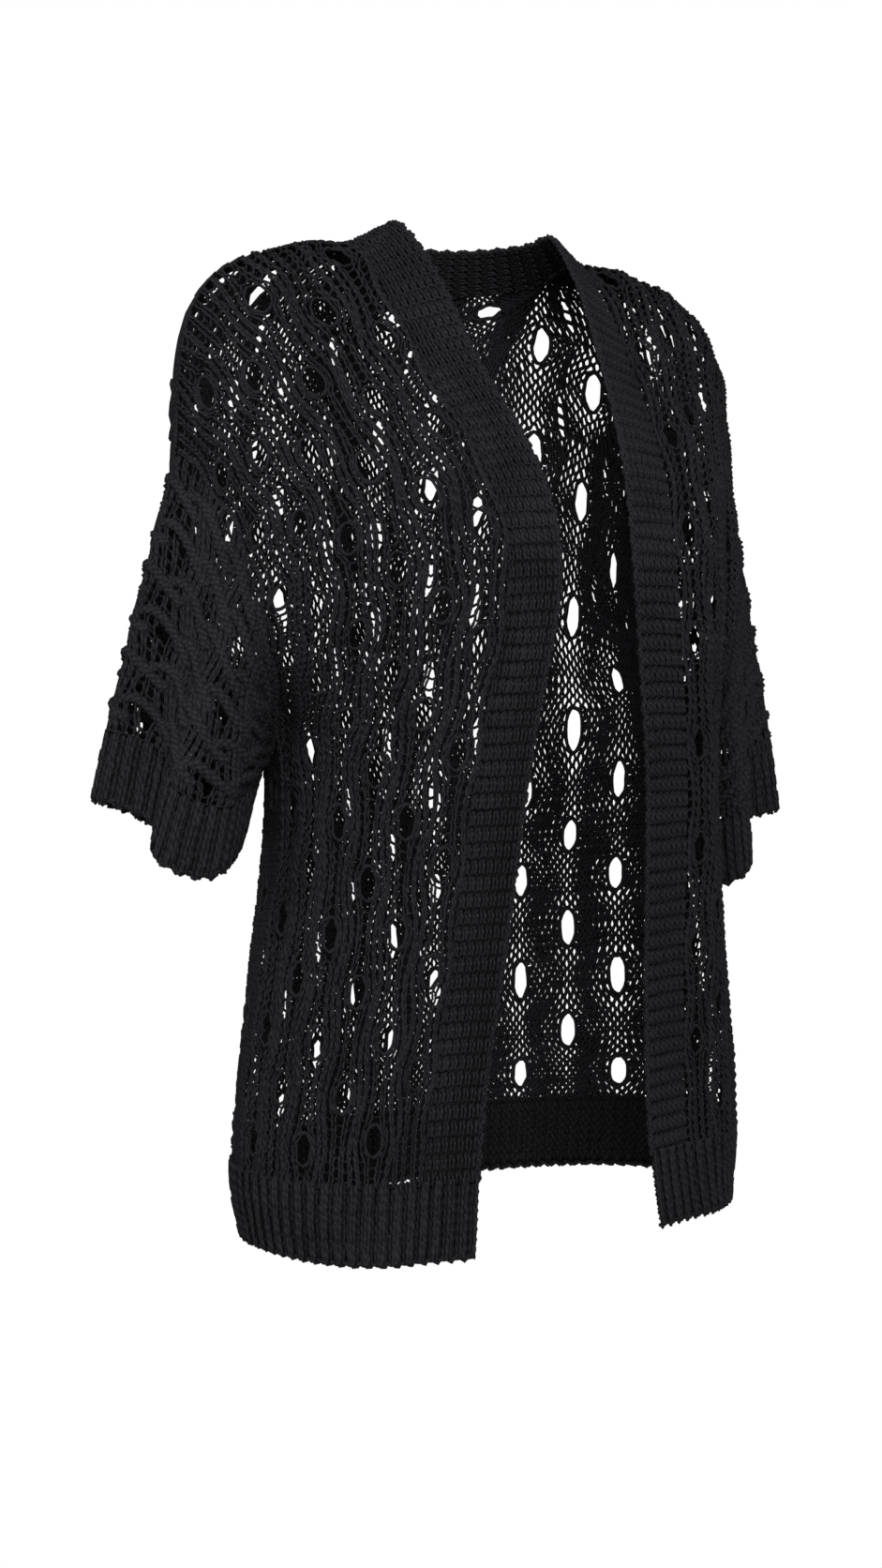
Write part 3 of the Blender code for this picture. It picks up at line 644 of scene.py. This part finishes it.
def yarnFinish(name, plan):
    finish = bpy.data.materials.new(name)
    finish.use_nodes = True
    tree = finish.node_tree
    shader = tree.nodes["Principled BSDF"]
    for label, value in (("Roughness", plan["roughness"]), ("Specular IOR Level", plan["shine"]),
                         ("Sheen Weight", plan["sheen"]), ("Sheen Roughness", plan["sheenRough"]),
                         ("Sheen Tint", (*plan["pale"], 1))):
        shader.inputs[label].default_value = value
    start = Flow(tree, shader.outputs[0])
    here = start.make("ShaderNodeTexCoord", out=3)
    fibres = start.make("ShaderNodeTexNoise", {"Vector": here, "Scale": plan["fibreScale"],
                                               "Detail": plan["fibreDetail"]})
    patches = start.make("ShaderNodeTexNoise", {"Vector": here, "Scale": plan["patchScale"], "Detail": 1.0})
    run = start.make("ShaderNodeAttribute", {}, {"attribute_name": "run"}, out=2)
    facing = start.make("ShaderNodeAttribute", {}, {"attribute_name": "facing"}, out=1)
    lay = run * (2 * math.pi * plan["plyTurns"])
    ply = facing.part(0) * lay.sine() + facing.part(1) * lay.cosine()
    # fibres and patches are the yarn's own tone; the ply term paints shade into the grooves between the plies
    toneAndPlyShade = (fibres * plan["fibreShade"] + patches * plan["patchShade"] + ply * plan["plyPaintedShade"]).within()
    colour = start.make("ShaderNodeMix", {0: toneAndPlyShade, 6: (*plan["dark"], 1), 7: (*plan["pale"], 1)},
                        {"data_type": "RGBA"}, out=2)
    tree.links.new(colour.socket, shader.inputs["Base Color"])
    bump = start.make("ShaderNodeBump", {"Strength": plan["bump"], "Distance": plan["bumpDepth"],
                                         "Height": ply * plan["plyBump"] + fibres})
    tree.links.new(bump.socket, shader.inputs["Normal"])
    return finish


blackYarn = yarnFinish("blackYarn", yarnPlan)
ribShadedGround = yarnFinish("ribShadedGround", groundShadePlan)
print("finishes ready")


# Points that the knit opens round.
# Each slot is (column, place up in repeats, width in columns, half length in repeats).
def slotSheet(name, columns, repeats, slots):
    k, up, wide, half = np.array(slots, float).T
    mesh = bpy.data.meshes.new(name)
    seek = knitShape["seek"]
    mesh.from_pydata(np.stack([(k + 0.5) * seek, up / repeats * seek, 0 * k], axis=1).tolist(), [], [])
    stored(mesh, {
        "up": up / repeats, "half": half / repeats, "wide": wide, "pitch": np.full(len(k), 1 / repeats),
        "middle": np.stack([(k + 0.5) / columns, up / repeats, 0 * k], axis=1),
        "ring": np.stack([(wide * rimPlan["wider"] + rimPlan["beyond"]) / columns,
                          half * rimPlan["longer"] / repeats, 0 * k + 1], axis=1)})
    return placed(name, mesh)


noSlots = slotSheet("no_slots", 1, 1, [(0, -100.0, 0.0, 0.01)])
knit = knitTree()
print("knit tree ready")

# columns and repeats of the lace, the rows of the form where repeats begin, and the net it is drawn on
backPlan = {"columns": 12, "repeats": 8.1, "coursesPerRepeat": 20, "slotWidth": 0.115, "slotHalf": 0.18,
            "first": (0.37, 0.85), "endGap": 0.1, "rims": True, "seed": 1,
            "inner": 3, "innerShift": -0.28, "outerShift": 0.25, "shiftFrom": 4.6, "shiftFade": 4,  # yoke slots
            "topFrom": 7.6, "topWidth": 0.19, "topHalf": 0.11,  # the slots under the neck
            "spacingAt": (0, 5, 8, 10.5, 12, 15, 18.4, 20, 21),
            "spacing": (0.0353, 0.0354, 0.0378, 0.0416, 0.0450, 0.0475, 0.0488, 0.0425, 0.034),
            "rows": (0, 1.5, 3.75, 5.75, 8.0, 11.6, 14.75, 17.5, 20.2, 21),
            "repeatsAt": (0, 0.85, 1.85, 2.85, 3.85, 4.85, 5.85, 6.85, 7.85, 8.1),
            "netRows": 90, "perColumn": 6, "netColumns": 193, "edgePower": 5,
            "yarn": {"Wales per column": 7.0, "Steps per wale": 4, "Yarn radius": 0.00193, "Radius rise": 0.06,
                     "Radius lean": 0.45, "Low dense": 0.10, "Underarm thin": 0.15, "Spread": 0.06,
                     "Unevenness": 0.07, "Loop height": 0.56, "Phase": 0.125, "Loop swing": 0.04,
                     "Wale gather": 0.0, "Half drop": 0.5, "Loop depth": 0.0006, "Middle thin": 0.10,
                     "Open width": 0.80, "Dense radius": 0.03, "Rim radius": 0.0019, "Rib relief": 0.0020,
                     "Patchiness": 0.45}}
frontPlan = {"columns": 6, "repeats": 9.4, "coursesPerRepeat": 10, "slotWidth": 0.19, "slotHalf": 0.155,
             "first": (1.12, 0.47, 0.87, 0.35, 0.88, 0.35), "endGap": 0.15, "rims": True,
             "seed": {"right": 2, "left": 3},
             "rows": (0, 8, 21), "repeatsAt": (0, 4, 9.4), "netRows": 100, "perColumn": 4,
             "yarn": {"Wales per column": 4.0, "Steps per wale": 8, "Rib relief": 0.0018, "Stagger": 0.2,
                      "Rim radius": 0.0014, "Yarn radius": 0.00096, "Radius rise": 0.22}}
sleevePlan = {"columns": 10, "repeats": 3.1, "coursesPerRepeat": 8, "slotWidth": 0.05, "slotHalf": 0.13,
              "first": (0.3, 0.8), "endGap": 0.1, "rims": False, "netRows": 40, "perColumn": 4,
              "seed": {"right": 4, "left": 5},
              "yarn": {"Wales per column": 6.0, "Yarn radius": 0.0013, "Dense radius": 0.25}}
laceYarn = {"Yarn radius": 0.00117, "Loop swing": 0.15, "Loop height": 0.76, "Loop depth": 0.0016,
            "Wale gather": 0.12, "Rib relief": 0.0024, "Spread": 0.14, "Meander": 0.07, "Dense radius": 0.28,
            "Open width": 0.6}


# Where each row of a net lies on the form, so that a repeat is as long as the plan says.
def rowPlaces(plan):
    even = np.linspace(0, plan["repeats"], plan["netRows"])
    places = spline(np.array(plan["repeatsAt"], float), np.array(plan["rows"], float), even)
    return np.clip(places, 0, plan["rows"][-1])


# The slots of a panel: up each column a repeat apart, from that column's first one.
def allSlots(plan):
    firsts = plan["first"] * (plan["columns"] // len(plan["first"]))
    return [(k, up, plan["slotWidth"], plan["slotHalf"])
            for k, first in enumerate(firsts) for up in np.arange(first, plan["repeats"] - plan["endGap"])]


# Every other course is a plain return row, so the knit is made as two pieces, lace rows and plain rows.
def laceKnit(name, guide, plan, slots, seed, closed=False):
    sheet = slotSheet(name + "_slots", plan["columns"], plan["repeats"], slots)
    courses = int(round(plan["repeats"] * plan["coursesPerRepeat"]))
    made = []
    for label, first, rims in (("plain_rows", 0, False), ("lace_rows", 1, plan["rims"])):
        values = {**laceYarn, **plan["yarn"], "Rims": rims, "Guide": guide, "Slots": sheet, "Finish": blackYarn,
                  "Columns": float(plan["columns"]), "Courses": len(range(first, courses, 2)),
                  "First course": float(first), "Course step": 2.0, "Courses in all": float(courses),
                  "Closed round": closed, "Seed": float(seed)}
        made.append(plainMesh(knit, values, name + "_" + label))
    for piece in made:
        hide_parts(name)
        name + "_yarn"
    return made


# The lace columns of the back keep their spacing from the middle; the armhole edge takes up the rest.
def straightColumns(net, plan, rows):
    middle = (net.shape[1] - 1) // 2
    share = np.linspace(0, 1, (plan["netColumns"] - 1) // 2 + 1)
    made = []
    for number, row in enumerate(net):
        kept = np.interp(rows[number], plan["spacingAt"], plan["spacing"]) * plan["columns"] / 2
        halves = [along(line, share * kept + (lengths(line)[-1] - kept) * share ** plan["edgePower"])
                  for line in (row[middle::-1], row[middle:])]
        made.append(np.concatenate([halves[0][:0:-1], halves[1]]))
    return np.array(made)


# In the yoke the slots of the back lie lower near the middle and higher beside it.
def backSlot(k, up, wide, half):
    plan = backPlan
    inner = abs(k - (plan["columns"] - 1) / 2) < plan["inner"]
    if up > plan["topFrom"]:
        wide, half = plan["topWidth"], plan["topHalf"]
    share = np.clip(up - plan["shiftFrom"], 0, 1) * np.clip((plan["topFrom"] - up) * plan["shiftFade"], 0, 1)
    moves = k % 2 == 0 or inner
    return k, up + (plan["innerShift"] if inner else plan["outerShift"]) * share * moves, wide, half


# The pieces of each sheet.
sheets = {}
backRows = rowPlaces(backPlan)
backNet = straightColumns(refined(backGrid[hemRows:], backRows, backPlan["perColumn"]), backPlan, backRows)
backSlots = [backSlot(*slot) for slot in allSlots(backPlan)]
sheets["back"] = laceKnit("back", guideSurface("back_guide", backNet, bodyMiddle), backPlan, backSlots,
                          backPlan["seed"])
for side, (grid, sleeveGrid) in sides.items():
    front = side + "_front"
    net = refined(grid[hemRows:, bandSteps:], rowPlaces(frontPlan), frontPlan["perColumn"])
    guide = guideSurface(front + "_guide", net, bodyMiddle)
    sheets[front] = laceKnit(front, guide, frontPlan, allSlots(frontPlan), frontPlan["seed"][side])

sleeveNets = {}
for side, (grid, sleeveGrid) in sides.items():
    sleeve = side + "_sleeve"
    net = refined(sleeveGrid[:sleeveRows + 1][::-1], np.linspace(0, sleeveRows, sleevePlan["netRows"]),
                  sleevePlan["perColumn"], closed=True)
    middles = ringMiddles(net)
    sleeveNets[side] = (net, middles)
    guide = guideSurface(sleeve + "_guide", net, middles, closed=True)
    sheets[sleeve] = laceKnit(sleeve, guide, sleevePlan, allSlots(sleevePlan), sleevePlan["seed"][side], closed=True)
print("lace panels done")

# A rib is a ground sheet for the knit's under layer, waved with its ridges, and the yarn loops on it; the ground has
# the yarn colour darkened, painted shade of the crevices between the loops.
ribYarn = {"Yarn radius": 0.0015, "Loop swing": 0.13, "Loop height": 0.90, "Loop depth": 0.0013,
           "Rib relief": 0.0040, "Wale gather": 0.05, "Spread": 0.15, "Meander": 0.0, "Dense radius": 0.10,
           "Open width": 0.5, "Wales per column": 2.0, "Steps per wale": 6, "Rims": False, "Row relief": 0.0,
           "Rows per ridge": 2.0}
bandYarn = {**ribYarn, "Loop swing": 0.14, "Loop height": 0.85, "Loop depth": 0.0010, "Rib relief": 0.0,
            "Spread": 0.0, "Dense radius": 0.0, "Wales per column": 1.0, "Row relief": 0.0008}
ribGroundPlan = {"thickness": 0.0010, "sunk": 0.0004, "inward": 0.45, "weld": 1e-6}
hemPlan = {"backRibs": 52, "frontRibs": 19, "courses": 8, "netRows": 9, "perRib": 6, "overlap": 0.1,
           "refine": 4, "backSeed": 11, "frontSeed": 12}
cuffPlan = {"ribs": 39, "courses": 7, "netRows": 9, "perColumn": 10, "seed": 14, "edgeRows": 5, "edgePerColumn": 6}
bandPlan = {"ribs": 7, "courses": 300, "longRows": 400, "perColumn": 5, "netRows": 640, "seed": 15}


def ribPiece(name, nodes, net, middle, ribs, courses, seed, closed=False, yarnValues=ribYarn):
    ridge = yarnValues["Rib relief"]
    net = net - gridNormals(net, middle, closed) * ridge * ribGroundPlan["inward"]
    values = {**yarnValues, "Guide": guideSurface(name + "_guide", net, middle, closed), "Slots": noSlots,
              "Finish": blackYarn, "Columns": float(ribs), "Courses": courses, "Courses in all": float(courses),
              "Closed round": closed, "Seed": float(seed)}
    yarn = plainMesh(knit, values, name + "_rib_yarn")
    rows, columns = net.shape[:2]
    wave = (0.5 + 0.5 * np.cos(2 * np.pi * np.linspace(0, ribs, columns))) * ridge - ribGroundPlan["sunk"]
    rowTurns = 2 * np.pi * np.linspace(0, courses, rows) / yarnValues["Rows per ridge"]
    rowWave = np.cos(rowTurns) * yarnValues["Row relief"]
    normals = gridNormals(net, middle, closed)
    half = ribGroundPlan["thickness"] / 2
    layers = [net + normals * (wave[None] + rowWave[:, None] + shift)[..., None] for shift in (half, -half)]
    outer, inner = np.arange(2 * rows * columns).reshape(2, rows, columns)
    faces = [faceRows(outer[:-1], outer[1:]), faceRows(inner[1:], inner[:-1]),
             faceRows(inner[0], outer[0]), faceRows(outer[-1], inner[-1])]
    if not closed:
        faces += [faceRows(outer[:, 0], inner[:, 0]), faceRows(inner[:, -1], outer[:, -1])]
    mesh = bpy.data.meshes.new(name + "_rib_ground")
    mesh.from_pydata(np.concatenate(layers).reshape(-1, 3).tolist(), [], np.concatenate(faces).tolist())
    shape = bmesh.new()
    shape.from_mesh(mesh)
    bmesh.ops.remove_doubles(shape, verts=shape.verts, dist=ribGroundPlan["weld"])
    bmesh.ops.recalc_face_normals(shape, faces=shape.faces)
    shape.to_mesh(mesh)
    shape.free()
    mesh.shade_smooth()
    mesh.materials.append(ribShadedGround)
    ground = placed(name + "_rib_ground", mesh)
    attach(ground, "root")
    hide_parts(*nodes)
    nodes[0] + "_yarn"
    nodes[0] + "_yarn"
    return [ground, yarn]


# The hem with its columns spread evenly, reaching a little up under the lace.
def hemNet(grid, ribs):
    plan = hemPlan
    net = refined(grid[:hemRows + 2], np.linspace(0, hemRows + plan["overlap"], plan["netRows"]), plan["refine"])
    columns = np.moveaxis(net, 1, 0)
    steps = rowSteps(columns)
    return np.moveaxis(spline(steps, columns, np.linspace(0, steps[-1], ribs * plan["perRib"] + 1)), 0, 1)


for name, grid, ribs, seed in (("back_hem", backGrid, hemPlan["backRibs"], hemPlan["backSeed"]),
                               ("right_front_hem", rightGrid, hemPlan["frontRibs"], hemPlan["frontSeed"]),
                               ("left_front_hem", leftGrid, hemPlan["frontRibs"], hemPlan["frontSeed"])):
    sheets[name] = ribPiece(name, [name], hemNet(grid, ribs), bodyMiddle, ribs, hemPlan["courses"], seed)
for side, (grid, sleeveGrid) in sides.items():
    cuff = side + "_cuff"
    low = sleeveGrid[sleeveRows:][::-1]
    net = refined(low, np.linspace(0, len(low) - 1, cuffPlan["netRows"]), cuffPlan["perColumn"], closed=True)
    sheets[cuff] = ribPiece(cuff, [cuff], net, ringMiddles(net), cuffPlan["ribs"], cuffPlan["courses"],
                            cuffPlan["seed"], closed=True)

bandStrip = np.concatenate([rightGrid[hemRows:, :bandSteps + 1], np.moveaxis(neckGrid[::-1, 1:-1], 1, 0),
                            leftGrid[hemRows:, :bandSteps + 1][::-1]])
bandLong = refined(bandStrip, np.linspace(0, len(bandStrip) - 1, bandPlan["longRows"]), bandPlan["perColumn"])
bandStep = rowSteps(bandLong)
bandNet = spline(bandStep, bandLong, np.linspace(0, bandStep[-1], bandPlan["netRows"]))
print("band length", round(bandStep[-1], 3))
sheets["band"] = ribPiece("band", ["right_band", "neck_band", "left_band"], bandNet, bodyMiddle, bandPlan["ribs"],
                          bandPlan["courses"], bandPlan["seed"], yarnValues=bandYarn)
print("ribs done")

# Each cord is a few plies turning round a path. The path carries its way out, its way aside and its distance.
cordInputs = {"Path": ("Object", None), "Finish": ("Material", None), "Ply radius": ("Float", 0.0011),
              "Twist radius": ("Float", 0.0010), "Turns per metre": ("Float", 90.0)}
cordShape = {"runPerMetre": 60.0, "sides": 4}


def cordTree(plies):
    tree, names, entry = openTree("cord" + str(plies), cordInputs)
    start = entry["Ply radius"]
    distance = start.named("distance")
    path = entry["Path"].geometry().store("run", distance * cordShape["runPerMetre"])
    made = []
    for ply in range(plies):
        angle = distance * (2 * math.pi) * entry["Turns per metre"] + 2 * math.pi * ply / plies
        out = start.named("outward", "FLOAT_VECTOR").scaled(angle.cosine() * entry["Twist radius"])
        beside = start.named("aside", "FLOAT_VECTOR").scaled(angle.sine() * entry["Twist radius"])
        line = start.make("GeometryNodeMeshToCurve", {0: path.shifted(out.plus(beside))})
        made.append(tube(line, cordShape["sides"], entry["Ply radius"]))
    closeTree(tree, joined(tree, made), entry["Finish"])
    return tree, names


def pathMesh(name, lines, outs, closed=False):
    edges, aside = [], []
    first = 0
    for line, out in zip(lines, outs):
        run = np.roll(line, -1, axis=0) - np.roll(line, 1, axis=0) if closed else np.gradient(line, axis=0)
        aside.append(unit(np.cross(run, out)))
        edges += [(first + i, first + i + 1) for i in range(len(line) - 1)]
        if closed:
            edges.append((first + len(line) - 1, first))
        first += len(line)
    mesh = bpy.data.meshes.new(name)
    mesh.from_pydata(np.concatenate(lines).tolist(), edges, [])
    stored(mesh, {"outward": np.concatenate(outs), "aside": np.concatenate(aside),
                  "distance": np.concatenate([lengths(line) for line in lines])})
    return placed(name, mesh)


# Points on a net at shares across and up, with the way out there.
def onNet(net, middle, closed, across, up):
    normals = gridNormals(net, middle, closed)
    rows, columns = net.shape[:2]
    across = np.mod(across, 1.0) if closed else np.clip(across, 0, 1)
    x = across * (columns - 1)
    y = np.clip(up, 0, 1) * (rows - 1)
    i = np.minimum(x.astype(int), columns - 2)
    j = np.minimum(y.astype(int), rows - 2)
    a = (x - i)[:, None]
    b = (y - j)[:, None]

    def read(values):
        low, high = (values[row, i] * (1 - a) + values[row, i + 1] * a for row in (j, j + 1))
        return low * (1 - b) + high * b

    return read(net), read(normals)


edgeTwist = {"Ply radius": 0.00125, "Twist radius": 0.0010, "Turns per metre": 100.0}
# for each edge: how far the cord sways, and over what length
edgePlan = {"step": 0.0022, "hem": (0.0011, 0.0092), "cuff": (0.0016, 0.0120), "band": (0.0009, 0.0125)}
ropeTwist = {"Ply radius": 0.0024, "Twist radius": 0.0022, "Turns per metre": 55.0}
ropePlan = {"rows": 6, "points": 15, "reach": 1.5, "back": 0.25, "lowest": 0.35, "spare": 0.3, "rise": 0.50,
            "bend": 1.6, "lift": 0.0020, "end": 0.04}
twoPly = cordTree(2)
threePly = cordTree(3)


# A cord along a line, swaying a little from side to side.
def edgeCord(name, line, out, sway, node, closed=False):
    wave, period = sway
    if closed:
        line, out = (np.concatenate([values, values[:1]]) for values in (line, out))
    total = lengths(line)[-1]
    spots = np.linspace(0, total, int(total / edgePlan["step"]), endpoint=not closed)
    outs = unit(along(line, spots, out))
    path = along(line, spots)
    beside = unit(np.cross(np.gradient(path, axis=0), outs))
    path = path + beside * (np.sin(2 * np.pi * spots / period) * wave)[:, None]
    guide = pathMesh(name + "_guide", [path], [outs], closed)
    piece = plainMesh(twoPly, {**edgeTwist, "Path": guide, "Finish": blackYarn}, name)
    node + "_yarn"
    return piece


def lowRim(net, middle, closed=False):
    across = np.linspace(0, 1, net.shape[1])
    across = across[:-1] if closed else across
    return onNet(net, middle, closed, across, np.zeros(len(across)))


hem = lowRim(backGrid[:hemRows + 1], bodyMiddle)
sheets["back_hem"].append(edgeCord("back_hem_edge", *hem, edgePlan["hem"], "back_hem"))
for side, (grid, sleeveGrid) in sides.items():
    hem = lowRim(grid[:hemRows + 1], bodyMiddle)
    sheets[side + "_front_hem"].append(edgeCord(side + "_front_hem_edge", *hem, edgePlan["hem"], side + "_front_hem"))
    low = refined(sleeveGrid[sleeveRows:][::-1], np.linspace(0, form["cuffRows"], cuffPlan["edgeRows"]),
                  cuffPlan["edgePerColumn"], closed=True)
    end = lowRim(low, ringMiddles(low), closed=True)
    sheets[side + "_cuff"].append(edgeCord(side + "_cuff_edge", *end, edgePlan["cuff"], side + "_cuff", closed=True))
bandOut = gridNormals(bandNet, bodyMiddle)[:, 0]
sheets["band"].append(edgeCord("band_edge", bandNet[:, 0], bandOut, edgePlan["band"], "right_band"))

for side, (net, middle) in sleeveNets.items():
    lines, outs = [], []
    t = np.linspace(0, 1, ropePlan["points"])
    rise = ropePlan["rise"] * np.sin(math.pi * t ** ropePlan["bend"])
    lift = ropePlan["lift"] * np.sin(math.pi * np.clip(t, ropePlan["end"], 1 - ropePlan["end"])) ** 0.5
    for row in range(ropePlan["rows"]):
        for k in range(sleevePlan["columns"]):
            across = (k + 0.5 * (row % 2) + t * ropePlan["reach"] - ropePlan["back"]) / sleevePlan["columns"]
            up = (row + ropePlan["lowest"] + rise) / (ropePlan["rows"] + ropePlan["spare"])
            place, out = onNet(net, middle, True, across, up)
            outs.append(unit(out))
            lines.append(place + outs[-1] * lift[:, None])
    guide = pathMesh(side + "_ropes_guide", lines, outs)
    ropes = plainMesh(threePly, {**ropeTwist, "Path": guide, "Finish": blackYarn}, side + "_sleeve_ropes")
    side + "_sleeve_yarn"
    sheets[side + "_sleeve"].append(ropes)
print("cords done")


# What each sheet was before it was worn: its widest row by its longest column, and its area.
def cutSize(grid):
    width = max(lengths(row)[-1] for row in grid)
    length = max(lengths(column)[-1] for column in np.moveaxis(grid, 1, 0))
    first = grid[1:, 1:] - grid[:-1, :-1]
    second = grid[1:, :-1] - grid[:-1, 1:]
    area = float(np.linalg.norm(np.cross(first, second), axis=2).sum() / 2)
    return (width, length), min(area, width * length)


def hungSheet(name, grid, restsOn):
    flat, area = cutSize(grid)
    print("sheet", name, "flat", round(flat[0], 3), round(flat[1], 3), "area", round(area, 4))


hungSheet("back", backGrid[hemRows:], ["neck_band"])
hungSheet("back_hem", backGrid[:hemRows + 1], ["back"])
for side, (grid, sleeveGrid) in sides.items():
    front = side + "_front"
    hungSheet(front, grid[hemRows:, bandSteps:], [side + "_band"])
    hungSheet(front + "_hem", grid[:hemRows + 1], [front])
    hungSheet(side + "_sleeve", sleeveGrid[:sleeveRows + 1], [front])
    hungSheet(side + "_cuff", sleeveGrid[sleeveRows:], [side + "_sleeve"])
hungSheet("band", bandStrip, ["back"])

for helper in [o for o in bpy.data.objects if o.type == "MESH" and o.name.endswith(("_guide", "_slots"))]:
    bpy.data.objects.remove(helper)

scene.view_settings.view_transform = "Standard"

floorPlan = {"size": 1.8, "height": -1.45, "colour": (0.86, 0.86, 0.86), "roughness": 0.8}
floorMesh = bpy.data.meshes.new("floor")
corners = [(x * floorPlan["size"] / 2, y * floorPlan["size"] / 2, floorPlan["height"])
           for x, y in ((-1, -1), (1, -1), (1, 1), (-1, 1))]
floorMesh.from_pydata(corners, [], [(0, 1, 2, 3)])
floorPaint = bpy.data.materials.new("floorPaint")
floorPaint.use_nodes = True
floorShader = floorPaint.node_tree.nodes["Principled BSDF"]
floorShader.inputs["Base Color"].default_value = (*floorPlan["colour"], 1)
floorShader.inputs["Roughness"].default_value = floorPlan["roughness"]
floorMesh.materials.append(floorPaint)
floor = placed("floor", floorMesh)

# a white room to the camera, dimmer as a light
roomPlan = {"colour": (1, 1, 1, 1), "fill": 0.07}
world = bpy.data.worlds.new("room")
world.use_nodes = True
scene.world = world
roomTree = world.node_tree
roomTree.nodes.clear()
room = Flow(roomTree, None)
seen = room.make("ShaderNodeBackground", {"Color": roomPlan["colour"]})
fill = room.make("ShaderNodeBackground", {"Color": roomPlan["colour"], "Strength": roomPlan["fill"]})
mixed = room.make("ShaderNodeMixShader", {0: room.make("ShaderNodeLightPath"), 1: fill, 2: seen})
roomTree.links.new(mixed.socket, roomTree.nodes.new("ShaderNodeOutputWorld").inputs[0])

lightAim = np.array((0.0, 0.0, -0.3))
lightPlans = {
    "frontSoft": {"place": (-0.9, -2.2, 0.9), "size": 1.6, "power": 90},
    "rightSoft": {"place": (-2.4, -0.5, 0.4), "size": 1.4, "power": 45},
    "leftSoft": {"place": (2.0, -1.6, 0.3), "size": 1.2, "power": 22},
}
for name, plan in lightPlans.items():
    lamp = bpy.data.lights.new(name, "AREA")
    lamp.shape = "SQUARE"
    lamp.size = plan["size"]
    lamp.energy = plan["power"]
    holder = placed(name, lamp)
    x, y, z = lightAim - np.array(plan["place"])
    holder.location = plan["place"]
    holder.rotation_euler = (math.atan2(math.hypot(x, y), -z), 0, math.atan2(y, x) - math.pi / 2)
print("room and lights done")
